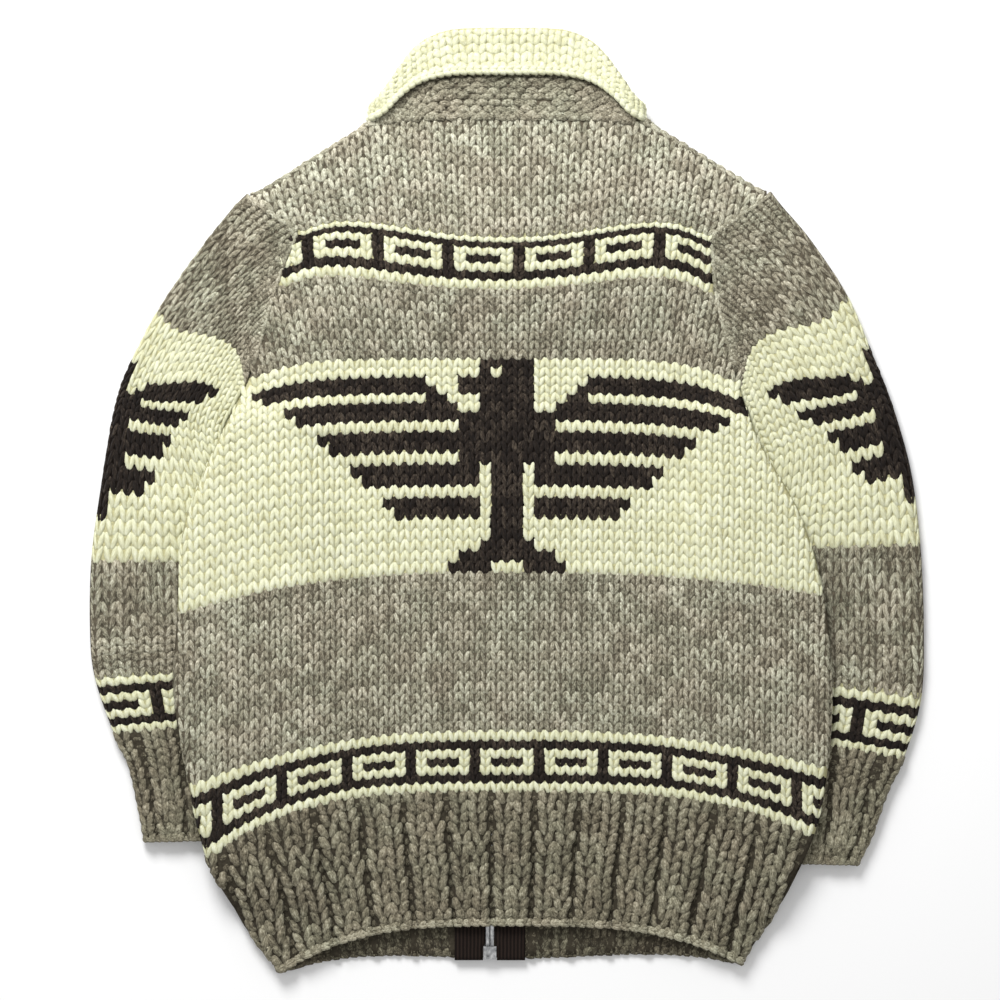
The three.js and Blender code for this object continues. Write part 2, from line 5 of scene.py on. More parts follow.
import bmesh
import bpy
import numpy as np
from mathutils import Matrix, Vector


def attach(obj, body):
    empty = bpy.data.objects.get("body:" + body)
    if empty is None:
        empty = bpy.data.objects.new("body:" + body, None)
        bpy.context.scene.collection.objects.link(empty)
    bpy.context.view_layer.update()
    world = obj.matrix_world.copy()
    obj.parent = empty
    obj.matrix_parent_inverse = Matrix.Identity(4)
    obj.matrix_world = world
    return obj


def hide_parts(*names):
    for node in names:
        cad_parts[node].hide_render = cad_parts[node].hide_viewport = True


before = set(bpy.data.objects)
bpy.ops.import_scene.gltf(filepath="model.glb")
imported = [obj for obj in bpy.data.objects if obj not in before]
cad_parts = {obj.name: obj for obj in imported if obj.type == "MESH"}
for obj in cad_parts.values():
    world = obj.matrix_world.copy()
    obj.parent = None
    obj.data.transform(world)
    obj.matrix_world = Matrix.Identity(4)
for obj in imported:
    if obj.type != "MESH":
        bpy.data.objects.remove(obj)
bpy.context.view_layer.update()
rng = np.random.default_rng(31)
milli = 0.001

print("frame loaded")

# ---- the cloth's form, as the solids have it ----
form = {
    "wall": 5, "bodyPitch": 8, "sleevePitch": 6.5, "foldPitch": 6.2,
    "overSleeve": 12.2, "overCollar": 6.2, "neckHalf": 0.525, "scoop": 82,
    "zipX": -14, "zipOpening": 6.8, "sliderY": 218, "settle": 13, "seamGap": 0.3,
}
frontMid = form["wall"] / 2
backMid = frontMid + form["bodyPitch"]
foldRadius = form["bodyPitch"] / 2
edgeInset = foldRadius + form["wall"] / 2
turnLength = math.pi / 2 * foldRadius - 2 * form["seamGap"]
ribTop, underarm, yoke = 2, 8, 10  # places in bodyRows
shoulder = {"left": -211, "leftY": 249, "right": 214, "rightY": 251, "neckY": 311}

bodyColumns = ("mid", "left", "right", "sag", "dropLeft", "dropRight", "power", "frontDrop")
bodyRows = {
    "hem": (-348, -190, 195, 0, 42, 34, 3.2, 28),
    "midRib": (-294, -222, 228, 0, 52, 36, 3.2, 21),
    "ribTop": (-239, -248, 253, 0, 57, 38, 3.6, 14),
    "lowBand": (-189, -262, 264, 0, 46, 31, 2.6, 8),
    "waist": (-124, -274, 267, 0, 39, 23, 2.6, 4),
    "creamFoot": (-59, -271, 260, 0, 35, 19, 2.6, 0),
    "creamMid": (3, -266, 242, 0, 29, 19, 3, 0),
    "creamHigh": (65, -239, 208, 0, 23, 20, 4, 0),
    "creamTop": (116, -211, 189, 0, 18, 22, 6, 0),
    "boxFoot": (173, -189, 171, 29, 31, 38, 6, 0),
    "boxTop": (214, -172, 168, 40, 38, 42, 5, 0),
}

sleeveColumns = ("outX", "outY", "inX", "inY", "seam")
sleeveRows = {
    -1: {
        "armhole": (-211, 249, -211, 97, 1),
        "cap": (-252, 212, -216, 92, 0.62),
        "upperArm": (-278, 175, -219, 79, 0.3),
        "creamTop": (-296, 145, -225, 66, 0.1),
        "creamHigh": (-314, 105, -231, 52, 0),
        "elbowHigh": (-325, 69, -226, 30, 0),
        "elbow": (-335, 11, -204, -6, 0),
        "creamFoot": (-343, -50, -186, -48, 0),
        "forearm": (-344, -110, -181, -104, 0),
        "boxTop": (-340, -147, -185, -136, 0),
        "boxFoot": (-325, -191, -195, -180, 0),
        "cuffHigh": (-312, -218, -205, -210, 0),
        "cuffLow": (-304, -252, -212, -246, 0),
        "cuffEdge": (-299, -280, -216, -278, 0),
    },
    1: {
        "armhole": (214, 251, 189, 94, 1),
        "cap": (241, 223, 192, 86, 0.62),
        "upperArm": (265, 196, 194, 73, 0.3),
        "creamTop": (288, 158, 197, 60, 0.1),
        "creamHigh": (303, 116, 202, 46, 0),
        "elbowHigh": (318, 78, 208, 26, 0),
        "elbow": (333, 25, 197, -8, 0),
        "creamFoot": (341, -36, 184, -40, 0),
        "forearm": (344, -104, 180, -100, 0),
        "boxTop": (342, -163, 184, -142, 0),
        "boxFoot": (328, -212, 192, -188, 0),
        "cuffHigh": (315, -238, 202, -218, 0),
        "cuffLow": (303, -272, 211, -262, 0),
        "cuffEdge": (290, -299, 220, -297, 0),
    },
}

collarColumns = ("seamX", "seamY", "foldX", "foldY", "edgeX", "edgeY", "turn")
collarLine = {
    "centreBack": (0, 312, 0, 386.3, 0, 350, 0),
    "back": (22, 312, 25, 386.3, 24, 350, 0),
    "halfBack": (44, 312, 50, 384, 47, 349, 0),
    "sideBack": (66, 312, 72, 373, 70, 343, 0),
    "backCorner": (84, 311, 88, 352, 88, 330, 0),
    "turnIn": (97, 309, 100, 334, 100, 317, 0),
    "turnHigh": (101, 309, 102, 326, 102, 312, 0.25),
    "turnMid": (101, 309, 102, 324, 102, 311, 0.5),
    "turnLow": (100, 310, 101, 325, 101, 313, 0.75),
    "turnOut": (97, 311, 98, 328, 99, 316, 1),
}
collarFront = {"steps": 7, "stand": 32, "fall": 48, "endGap": 7}


def mix(a, b, t):
    return a + (b - a) * t


def smooth(x, low, high):
    t = np.clip((x - low) / (high - low), 0, 1)
    return t * t * (3 - 2 * t)


def columnOf(rows, names, column):
    place = names.index(column)
    return np.array([row[place] for row in rows.values()], float)


def along(values, place):  # Catmull-Rom through values, at fractional places
    last = len(values) - 1
    place = np.asarray(place, float)
    k = np.clip(np.floor(place).astype(int), 0, last - 1)
    t = place - k
    if values.ndim > 1:
        t = t.reshape(t.shape + (1,) * (values.ndim - 1))
    p0, p1, p2, p3 = (values[np.clip(k + step, 0, last)] for step in (-1, 0, 1, 2))
    return p1 + 0.5 * t * (p2 - p0 + t * (2 * p0 - 5 * p1 + 4 * p2 - p3 + t * (3 * (p1 - p2) + p3 - p0)))


def rideUp(x, y):  # how far the body lies over the tucked sleeves and the collar's front
    arm = np.where(x < 0, sleeveRows[-1]["armhole"][3], sleeveRows[1]["armhole"][3])
    overSleeve = smooth(np.abs(x), 118, 176) * smooth(arm - y, 0, 37) * smooth(y, -352, -302)
    overCollar = smooth(y, 110, 172) * (1 - smooth(np.abs(x), 122, 180))
    return form["overSleeve"] * overSleeve + form["overCollar"] * overCollar


# Soft folds: from (x, y) to (x, y), how high (troughs are negative) and how wide.
creases = {
    "back": [
        (-196, 92, -118, 40, 1.8, 13), (-190, 66, -96, -8, -1.6, 15), (184, 84, 104, 52, 1.5, 12),
        (186, 60, 120, -14, -1.7, 17), (-248, -150, -176, -60, 1.4, 19), (236, -176, 190, -70, 1.6, 15),
        (-150, 262, -96, 196, -1.2, 18), (128, 268, 86, 205, -1.0, 14), (-60, -210, -34, -90, 1.1, 26),
        (92, -205, 70, -120, -1.2, 21), (-222, -20, -150, -66, -1.3, 16),
    ],
    "front": [
        (-190, 88, -100, 20, 1.5, 15), (186, 80, 96, 24, 1.4, 13), (-230, -140, -140, -100, -1.3, 18),
        (220, -150, 130, -90, 1.2, 21), (-110, 180, -70, 80, -1.0, 16), (100, 190, 60, 100, 1.1, 19),
    ],
    "sleeve": [
        (-322, 40, -236, 8, -1.6, 11), (-330, 2, -222, -22, 1.7, 13), (-300, 120, -240, 60, 1.1, 12),
        (-338, -84, -214, -92, -1.2, 15), (-330, -168, -214, -150, 1.0, 12), (-268, 172, -232, 108, -1.1, 11),
        (320, 44, 224, 4, -1.4, 12), (332, 14, 214, -30, 1.8, 12), (338, -70, 206, -96, -1.3, 17),
        (300, 130, 226, 74, 1.2, 14), (334, -180, 214, -160, 0.9, 11), (262, 176, 220, 116, -1.2, 13),
    ],
}


def creaseLift(part, x, y):
    lift = 0 * x
    for x0, y0, x1, y1, height, width in creases[part]:
        length = math.hypot(x1 - x0, y1 - y0)
        t = ((x - x0) * (x1 - x0) + (y - y0) * (y1 - y0)) / length
        away = ((x - x0) * (y1 - y0) - (y - y0) * (x1 - x0)) / length
        fade = smooth(t, -0.2 * length, 0.35 * length) * (1 - smooth(t, 0.6 * length, 1.15 * length))
        lift = lift + height * fade * np.exp(-(away / width) ** 2)
    return lift


def overSlider(x, y):
    away = np.hypot(x - form["zipX"], y - form["sliderY"])
    return 3.4 * (1 - smooth(away, 14, 48))


def topLine(u, isFront):
    x = mix(shoulder["left"], shoulder["right"], (u + 1) / 2)
    tipY = np.where(u < 0, shoulder["leftY"], shoulder["rightY"])
    out = np.abs(u)
    neck = form["neckHalf"]
    slope = mix(shoulder["neckY"], tipY, (out - neck) / (1 - neck))
    dip = np.cos(math.pi / 2 * np.clip(out / neck, 0, 1)) ** 0.8
    scoop = form["scoop"] * dip if isFront else 0
    return x, np.where(out >= neck, slope, shoulder["neckY"] - scoop)


def bodyPlan(u, v, isFront):
    place = np.minimum(v, yoke)

    def value(column):
        return along(columnOf(bodyRows, bodyColumns, column), place)

    x = mix(value("left"), value("right"), (u + 1) / 2)
    drop = np.where(u < 0, value("dropLeft"), value("dropRight"))
    hang = value("frontDrop") * (1 - u * u) if isFront else 0
    y = value("mid") + value("sag") * u * u - drop * np.abs(u) ** value("power") - hang
    topX, topY = topLine(u, isFront)
    rise = np.clip(v - yoke, 0, 1)
    return mix(x, topX, rise), mix(y, topY, rise)


def turnEdge(length, share):
    share = np.maximum(share, 0.01)
    radius = foldRadius / share
    return radius * np.sin(length / radius), radius * (1 - np.cos(length / radius))


def flatSpan(side, v):  # where a panel is flat between its turned edges or the zip
    isFront = side != 0
    leftEdge = bodyPlan(-1.0, v, isFront)[0]
    rightEdge = bodyPlan(1.0, v, isFront)[0]
    start = form["zipX"] + form["zipOpening"] if side > 0 else leftEdge + edgeInset
    end = form["zipX"] - form["zipOpening"] if side < 0 else rightEdge - edgeInset
    return leftEdge, rightEdge, start + 0 * v, end + 0 * v


# The panel's mid surface: s is measured along the cloth from X = 0, v counts bodyRows, and
# beyond is how far past the shoulder line the cloth has turned.
def panelPoint(side, s, v, beyond):
    isFront = side != 0
    v = np.asarray(v, float)
    leftEdge, rightEdge, start, end = flatSpan(side, v)
    x = np.clip(s, start, end)
    past = s - x
    u = 2 * (x - leftEdge) / (rightEdge - leftEdge) - 1
    baseX, baseY = bodyPlan(u, v, isFront)
    baseY = baseY - edgeInset * np.clip(v - yoke, 0, 1)
    level = rideUp(baseX, baseY) + (frontMid if isFront else backMid + overSlider(baseX, baseY))
    lift = creaseLift("front" if isFront else "back", baseX, baseY)
    level = level + (np.maximum(lift, 0) if isFront else lift)  # on the floor, the fronts only rise
    inward = -1 if isFront else 1
    out, down = turnEdge(np.abs(past), 1 - smooth(v, underarm - 0.7, underarm))
    topShare = smooth(np.abs(u), form["neckHalf"], form["neckHalf"] + 0.07)
    up, upDown = turnEdge(beyond, topShare)
    return np.stack([baseX + np.sign(past) * out, baseY + up, level - inward * (down + upDown)], axis=-1)


# ---- the knitting's count ----
knit = {
    "rowKnots": (0, 7, 23, 44, 52, 59), "placeKnots": (2, 3, 5, 8, 9, 10), "rowPitch": 8.33,
    "pitchPlaces": (2, 5, 8, 9, 10, 11), "pitch": (8.75, 8.8, 8.9, 9.5, 9.7, 10.3),
    "yokeRows": 14, "halfColumns": 32,
    "ribRows": 13, "ribPitch": (32, 36.7), "ribShift": (4, 5), "ribDepth": 4.6,
    "sleeveColumns": 28, "sleeveRows": (0, 11, 18, 29, 50, 64), "sleevePlaces": (13, 10, 9, 7, 3, 0),
    "crowding": 1.3, "crowdFrom": (0, 2.4), "crowdTo": (3, 6.5), "crowdInward": (0.15, 0.9),
    "collarPitch": 11, "collarRows": (0, 4.7, 5.9, 15), "collarPlaces": (9, 7, 3, 0),
}
bandRows = {"low": (0, 7), "cream": (23, 44), "high": (52, 59)}
boxRepeat = 6
heather, cream, dark, ribShadedHeather = 0, 1, 2, 3  # the wools, the last the heather painted darker for the ribs and cuffs, as painted shade towards the hem


def yokeLength(side, column):
    s = column * np.interp(yoke, knit["pitchPlaces"], knit["pitch"])
    foot = panelPoint(side, s, np.full_like(s, yoke), 0.0)
    top = panelPoint(side, s, np.full_like(s, yoke + 1), 0.0)
    return np.maximum(np.linalg.norm((top - foot)[..., :2], axis=-1), 6)


def stitchPlace(side, column, row):  # where a stitch of the body falls: s, v and beyond
    v = np.interp(row, knit["rowKnots"], knit["placeKnots"])
    length = yokeLength(side, column)
    rise = np.maximum(row - knit["rowKnots"][-1], 0) * knit["rowPitch"]
    v = v + np.minimum(rise / length, 1)
    s = column * np.interp(v, knit["pitchPlaces"], knit["pitch"])
    return s, v, np.maximum(rise - length, 0)


def stitchOnPanel(side, column, row):
    s, v, beyond = stitchPlace(side, column, row)
    leftEdge, rightEdge, start, end = flatSpan(side, v)
    past = np.maximum(start - s, s - end)
    free = turnLength + 1.5 * smooth(v, underarm - 0.3, underarm + 0.3)
    limit = np.where(np.where(s < start, side > 0, side < 0), 0, free)
    return (past <= limit) & (beyond <= turnLength + 2)


def bodyPoint(side):
    def at(column, row):
        s, v, beyond = stitchPlace(side, column, row)
        return panelPoint(side, s, v, beyond)
    return at


def ribSpread(v):  # the pitch and shift of the ribs between the hem and the rib's top
    share = np.clip(v / ribTop, 0, 1)
    return mix(*knit["ribPitch"], share), mix(*knit["ribShift"], share)


def ribDrop(column, row, rows):  # how deep the cloth dips between two ribs
    away = np.abs(column - np.round(column))
    return smooth(away, 0.36, 0.5) * smooth(rows - row, 0.5, 4.5)


def ribPoint(side):
    def at(column, row):
        v = ribTop * row / knit["ribRows"]
        pitch, shift = ribSpread(v)
        point = panelPoint(side, column * pitch + shift, v, 0.0)
        dip = knit["ribDepth"] * (0.6 if side else 1) * ribDrop(column, row, knit["ribRows"])
        point[..., 2] += dip if side else -dip
        return point
    return at


# ---- sleeves: rings round the arm ----
def sleeveRing(row, hand):
    lines = np.array([11, 10.7, 10.35, 10, 9.5, 9, 8.7, 8.4, 8.13])

    def edge(side):
        leftEdge, rightEdge, start, end = flatSpan(side, lines)
        s = end + turnLength if hand > 0 else start - turnLength
        return panelPoint(side, s, lines, 0.0)

    seam, lowSeam = edge(0), edge(hand)
    outX, outY, inX, inY, share = row
    lengths = np.concatenate([[0], np.cumsum(np.linalg.norm(np.diff(seam, axis=0), axis=1))])
    lengths /= lengths[-1]
    outer, inner = np.array([outX, outY]), np.array([inX, inY])
    width = np.linalg.norm(outer - inner)
    radius = mix(form["sleevePitch"], form["bodyPitch"], share) / 2
    inset = (form["sleevePitch"] / 2 + form["wall"] / 2) / width

    def layer(points, level):
        straight = mix(outer, inner, mix(inset, 1 - inset, lengths)[:, None])
        flat = np.column_stack([straight, np.full(len(lines), level)])
        target = points + np.array([hand * 2.5 * form["seamGap"], 0, 0])
        return mix(flat, target, share)

    top = layer(seam, frontMid + form["sleevePitch"])
    low = layer(lowSeam, frontMid)

    def fold(start, end, way):
        angles = np.linspace(0, math.pi, 5)[1:-1, None]
        return mix(start, end, (1 - np.cos(angles)) / 2) + way * radius * np.sin(angles)

    outward = np.append((outer - inner) / width, 0)
    outerWay = mix(outward, np.array([hand * 0.7, 1, 0]), share)
    innerWay = mix(-outward, np.array([hand, -0.4, 0]), share)
    outerWay, innerWay = (way / np.linalg.norm(way) for way in (outerWay, innerWay))
    ring = np.concatenate([top, fold(top[-1], low[-1], innerWay), low[::-1], fold(low[0], top[0], outerWay)])
    return np.roll(ring, 2, axis=0)  # it starts in the middle of the outer fold


def evenRing(ring, count):  # the ring again, at even steps round it
    closed = np.concatenate([ring[-2:], ring, ring[:3]])
    lengths = np.cumsum(np.linalg.norm(np.diff(closed, axis=0), axis=1))
    lengths = np.concatenate([[0], lengths])
    first, last = lengths[2], lengths[len(ring) + 2]
    place = np.interp(np.linspace(first, last, count + 1), lengths, np.arange(len(closed)))
    return along(closed, place)


def sleeveTube(hand):
    steps = 4 * knit["sleeveColumns"]
    rings = np.array([evenRing(sleeveRing(row, hand), steps) for row in sleeveRows[hand].values()])

    def at(column, row):
        place = np.interp(row, knit["sleeveRows"], knit["sleevePlaces"])
        inward = 1 - np.abs(np.mod(column, knit["sleeveColumns"]) / knit["sleeveColumns"] * 2 - 1)
        # The rows crowd towards the underarm.
        early = smooth(place, *knit["crowdFrom"]) * (1 - smooth(place, *knit["crowdTo"]))
        place = place - knit["crowding"] * early * smooth(inward, *knit["crowdInward"])
        turn = np.mod(column, knit["sleeveColumns"]) * 4
        k = np.minimum(np.floor(turn).astype(int), steps - 1)
        lows = along(rings, place.ravel())
        pick = np.arange(lows.shape[0])
        flatK, flatT = k.ravel(), (turn - k).ravel()[:, None]
        points = mix(lows[pick, flatK], lows[pick, flatK + 1], flatT)
        onTop = smooth(points[:, 2], frontMid, frontMid + form["sleevePitch"])
        awayFromCuff = smooth(-place.ravel(), -12.5, -1)
        points[:, 2] += onTop * awayFromCuff * creaseLift("sleeve", points[:, 0], points[:, 1])
        return points.reshape(column.shape + (3,))
    return at


def cuffPoint(hand):
    tube = sleeveTube(hand)
    rows = knit["sleeveRows"][1]

    def at(column, row):
        point = tube(column * 4, row)
        ahead, behind = tube(column * 4 + 0.3, row), tube(column * 4 - 0.3, row)
        across = ahead - behind
        normal = np.cross(across, np.array([0.0, 1, 0])) * -hand
        normal /= np.linalg.norm(normal, axis=-1, keepdims=True) + 1e-9
        dip = 2.0 * ribDrop(column, row, rows)
        return point - normal * dip[..., None]
    return at


# ---- collar ----
def collarStations(hand):
    stations = [dict(zip(collarColumns, row)) for row in collarLine.values()]
    last = stations[-1]
    zipEdge = form["zipX"] + hand * form["zipOpening"]
    for k in range(1, collarFront["steps"] + 1):
        t = k / collarFront["steps"]
        seamX = mix(last["seamX"], zipEdge * hand, t)
        u = 2 * (seamX * hand - shoulder["left"]) / (shoulder["right"] - shoulder["left"]) - 1
        seamY = float(topLine(np.float64(u), True)[1]) + 1
        down = smooth(t, 0, 0.45)
        stations.append({
            "seamX": seamX, "seamY": seamY,
            "foldX": mix(last["foldX"], seamX, 0.75 + 0.25 * t),
            "foldY": seamY + mix(last["foldY"] - last["seamY"], collarFront["stand"], down),
            "edgeX": seamX + 16 * math.sin(math.pi * t) + collarFront["endGap"] * t,
            "edgeY": seamY + mix(6, collarFront["stand"] - collarFront["fall"], down),
            "turn": 1,
        })
    return stations


def collarProfile(station, hand):
    angle = math.pi * station["turn"]
    out = np.array([hand * math.sin(angle), 0, math.cos(angle)])
    middle = backMid - foldRadius + form["overCollar"]
    onBack = 1 - smooth(station["turn"], 0, 0.5)
    sinkShare = onBack * (1 - smooth(station["seamX"], 55, 99))

    def place(x, y, depth):
        sink = form["settle"] * sinkShare * smooth(y, shoulder["neckY"] + 2, 376)
        return np.array([x * hand, y, middle - sink]) + out * (foldRadius + depth)

    pitch = form["foldPitch"]
    straight = station["foldY"] - pitch / 2
    points = []
    for t in (0, 0.35, 0.7, 1):
        x = mix(station["seamX"], station["foldX"], t)
        points.append(place(x, mix(station["seamY"], straight, t), 0))
    for t in (0.25, 0.5, 0.75):
        y = straight + pitch / 2 * math.sin(math.pi * t)
        points.append(place(station["foldX"], y, pitch / 2 * (1 - math.cos(math.pi * t))))
    for t in (0, 0.5, 1):
        x = mix(station["foldX"], station["edgeX"], t)
        points.append(place(x, mix(straight, station["edgeY"], t), pitch))
    return points


def collarBand():  # the mid surface, and how many columns of stitches go round it
    left = [collarProfile(station, -1) for station in collarStations(-1)[:0:-1]]
    right = [collarProfile(station, 1) for station in collarStations(1)]
    grid = np.array(left + right)
    lengths = np.concatenate([[0], np.cumsum(np.linalg.norm(np.diff(grid[:, 8], axis=0), axis=1))])
    centre = lengths[len(left)]
    columns = (lengths - centre) / knit["collarPitch"]

    def at(column, row):
        place = np.interp(column, columns, np.arange(len(columns)))
        lines = along(grid, place.ravel())
        profile = np.interp(row, knit["collarRows"], knit["collarPlaces"]).ravel()
        k = np.clip(np.floor(profile).astype(int), 0, 8)
        pick = np.arange(lines.shape[0])
        t = (profile - k)[:, None]
        p0, p1, p2, p3 = (lines[pick, np.clip(k + step, 0, 9)] for step in (-1, 0, 1, 2))
        point = p1 + 0.5 * t * (p2 - p0 + t * (2 * p0 - 5 * p1 + 4 * p2 - p3 + t * (3 * (p1 - p2) + p3 - p0)))
        return point.reshape(column.shape + (3,))
    return at, columns[0], columns[-1]


# ---- a surface that yarn is laid on ----
class Surface:
    def __init__(self, pointAt, first, last, rows, facing=1, fine=2, low=0):
        self.first, self.low, self.fine = first, low, fine
        columns = np.arange(first, last + 0.5 / fine, 1 / fine)
        lines = np.arange(low, rows + 0.25, 0.5)
        across, up = np.meshgrid(columns, lines)
        self.points = pointAt(across, up)
        normals = np.cross(np.gradient(self.points, axis=1), np.gradient(self.points, axis=0)) * facing
        self.normals = normals / (np.linalg.norm(normals, axis=-1, keepdims=True) + 1e-9)

    def at(self, column, row):
        i = (row - self.low) * 2
        j = (column - self.first) * self.fine
        i0 = np.clip(np.floor(i).astype(int), 0, self.points.shape[0] - 2)
        j0 = np.clip(np.floor(j).astype(int), 0, self.points.shape[1] - 2)
        a, b = (i - i0)[..., None], (j - j0)[..., None]

        def blend(grid):
            near = mix(grid[i0, j0], grid[i0, j0 + 1], b)
            far = mix(grid[i0 + 1, j0], grid[i0 + 1, j0 + 1], b)
            return mix(near, far, a)
        return blend(self.points), blend(self.normals)


# ---- shader maths ----
class Value:
    def __init__(self, shader, socket):
        self.shader, self.socket = shader, socket

    def math(self, operation, *others):
        node = self.shader.node("ShaderNodeMath", {"operation": operation}, dict(enumerate((self, *others))))
        return Value(self.shader, node.outputs[0])

    def __add__(self, other):
        return self.math("ADD", other)

    def __mul__(self, other):
        return self.math("MULTIPLY", other)

    def __sub__(self, other):
        return self.math("SUBTRACT", other)

    def __rsub__(self, other):
        return (self * -1).math("ADD", other)

    __radd__, __rmul__ = __add__, __mul__


class Shader:
    def __init__(self, name, **constants):
        self.material = bpy.data.materials.new(name)
        self.material.use_nodes = True
        self.tree = self.material.node_tree
        self.main = self.tree.nodes["Principled BSDF"]
        for socket, value in constants.items():
            self.main.inputs[socket.replace("_", " ")].default_value = value

    def node(self, kind, settings=None, inputs=None):
        node = self.tree.nodes.new(kind)
        for key, value in (settings or {}).items():
            if key == "stops":
                ramp = node.color_ramp
                while len(ramp.elements) < len(value):
                    ramp.elements.new(0.5)
                for element, (place, colour) in zip(ramp.elements, value):
                    element.position = place
                    element.color = (*colour, 1)
            elif key == "interpolation":
                node.color_ramp.interpolation = value
            else:
                setattr(node, key, value)
        for key, value in (inputs or {}).items():
            self.feed(node.inputs[key], value)
        return node

    def feed(self, socket, value):
        if isinstance(value, Value):
            value = value.socket
        if isinstance(value, bpy.types.NodeSocket):
            self.tree.links.new(value, socket)
        else:
            socket.default_value = value

    def attribute(self, name, output="Fac"):
        return self.node("ShaderNodeAttribute", {"attribute_name": name}).outputs[output]

    def objectPlace(self):
        return self.node("ShaderNodeTexCoord").outputs["Object"]

    def noise(self, place, scale, detail=2, roughness=0.5):
        node = self.node("ShaderNodeTexNoise", {}, {
            "Vector": place, "Scale": scale, "Detail": detail, "Roughness": roughness})
        return Value(self, node.outputs["Fac"])

    def stretch(self, place, size):
        node = self.node("ShaderNodeVectorMath", {"operation": "MULTIPLY"}, {0: place, 1: size})
        return node.outputs[0]

    def ramp(self, value, stops, interpolation="LINEAR"):
        settings = {"stops": stops, "interpolation": interpolation}
        return self.node("ShaderNodeValToRGB", settings, {0: value}).outputs[0]

    def blend(self, share, a, b, mode="MIX"):
        node = self.node("ShaderNodeMix", {"data_type": "RGBA", "blend_type": mode}, {0: share, 6: a, 7: b})
        return node.outputs[2]

    def bump(self, height, distance, strength=1.0):
        node = self.node("ShaderNodeBump", {}, {"Height": height, "Distance": distance, "Strength": strength})
        self.feed(self.main.inputs["Normal"], node.outputs[0])


def colour(red, green, blue):  # from 0 to 255, as a screen shows it
    return tuple(c / 255 / 12.92 if c / 255 <= 0.04045 else ((c / 255 + 0.055) / 1.055) ** 2.4
                 for c in (red, green, blue))


# Wool yarn: every strand has its own shade, long flecks run along it, fibres lift, and painted shade darkens
# each strand's sides.
wools = {
    heather: {
        "name": "heather_yarn", "fleck": 1.25, "shade": 0.36, "rimShade": 0.07,
        "tints": ((0.95, 0.90, 0.85), (0.95, 1.0, 0.93)),
        "stops": [(0.37, colour(82, 77, 65)), (0.46, colour(136, 131, 114)), (0.54, colour(168, 164, 146)),
                  (0.65, colour(222, 220, 202))],
    },
    # The rib yarn is the heather with darker stops: painted shade, the ribs lying farthest from the light.
    ribShadedHeather: {
        "name": "rib_yarn", "fleck": 1.25, "shade": 0.26, "rimShade": 0.1,
        "tints": ((0.95, 0.90, 0.85), (0.95, 1.0, 0.93)),
        "stops": [(0.36, colour(62, 57, 47)), (0.46, colour(108, 103, 87)), (0.54, colour(136, 130, 112)),
                  (0.66, colour(188, 184, 164))],
    },
    cream: {
        "name": "cream_yarn", "fleck": 0.8, "shade": 0.3, "rimShade": 0.07,
        "stops": [(0.34, colour(192, 190, 152)), (0.5, colour(213, 214, 182)), (0.66, colour(228, 229, 208))],
    },
    dark: {
        "name": "dark_yarn", "fleck": 1.0, "shade": 0.4, "rimShade": 0.04,
        "stops": [(0.36, colour(20, 15, 12)), (0.52, colour(37, 30, 25)), (0.7, colour(92, 82, 70))],
    },
}


def woolMaterial(wool):
    matt = {"Roughness": 0.95, "Sheen_Weight": 0.04, "Sheen_Roughness": 0.6, "Specular_IOR_Level": 0.12}
    shader = Shader(wool["name"], **matt)
    strand = shader.attribute("strand", "Vector")
    fleck = shader.noise(shader.stretch(strand, (1.6, 1.5, 37.0)), wool["fleck"], 4, 0.62)
    fibre = shader.noise(shader.stretch(strand, (6.0, 1.9, 37.0)), 1.0, 3, 0.62)
    shade = Value(shader, shader.attribute("shade"))
    across = Value(shader, shader.node("ShaderNodeSeparateXYZ", {}, {0: strand}).outputs[0])
    # Painted shade: each strand darkens towards its sides, where it meets its neighbours.
    rimShade = across.math("ABSOLUTE").math("POWER", 3.0)
    tone = fleck * 0.5 + fibre * 0.5 + (shade - 0.5) * (wool["shade"] * 0.3) - rimShade * wool["rimShade"]
    base = shader.ramp(tone, wool["stops"])
    if "tints" in wool:  # broad drifts of one fleece or another through the yarn
        drift = shader.noise(shader.objectPlace(), 34.0, 2)
        cast = shader.ramp(drift, [(0.35, wool["tints"][0]), (0.65, wool["tints"][1])])
        base = shader.blend(0.6, base, cast, "MULTIPLY")
    shader.feed(shader.main.inputs["Base Color"], base)
    shader.bump(fibre, 0.0009, 0.8)
    return shader.material


def groundShadeMaterial():  # the cloth behind the loops, seen between the strands, coloured with painted shade
    shader = Shader("loop_ground_gap_shade", Roughness=1.0, Specular_IOR_Level=0.05)
    wool = Value(shader, shader.attribute("wool"))
    # Darker copies of the heather, cream, dark and rib wools: painted shade in the gaps between stitches.
    stops = [(0, colour(98, 91, 77)), (0.2, colour(192, 188, 146)), (0.5, colour(26, 21, 18)),
             (0.8, colour(66, 61, 51))]
    base = shader.ramp(wool * 0.3, stops, "CONSTANT")
    mottle = shader.noise(shader.objectPlace(), 420.0, 3)
    shaded = shader.blend(0.6, base, shader.ramp(mottle, [(0.3, (0.35,) * 3), (0.7, (1, 1, 1))]), "MULTIPLY")
    shader.feed(shader.main.inputs["Base Color"], shaded)
    shader.bump(mottle, 0.0012, 0.7)
    return shader.material


materials = {wool: woolMaterial(facts) for wool, facts in wools.items()}
ground = groundShadeMaterial()
print("materials made")


# ---- laying yarn ----
def linkObject(name, mesh):
    piece = bpy.data.objects.new(name, mesh)
    bpy.context.scene.collection.objects.link(piece)
    return piece


def setCorners(mesh, points):
    mesh.vertices.foreach_set("co", (points.reshape(-1, 3) * milli).astype(np.float32).ravel())
    mesh.update()


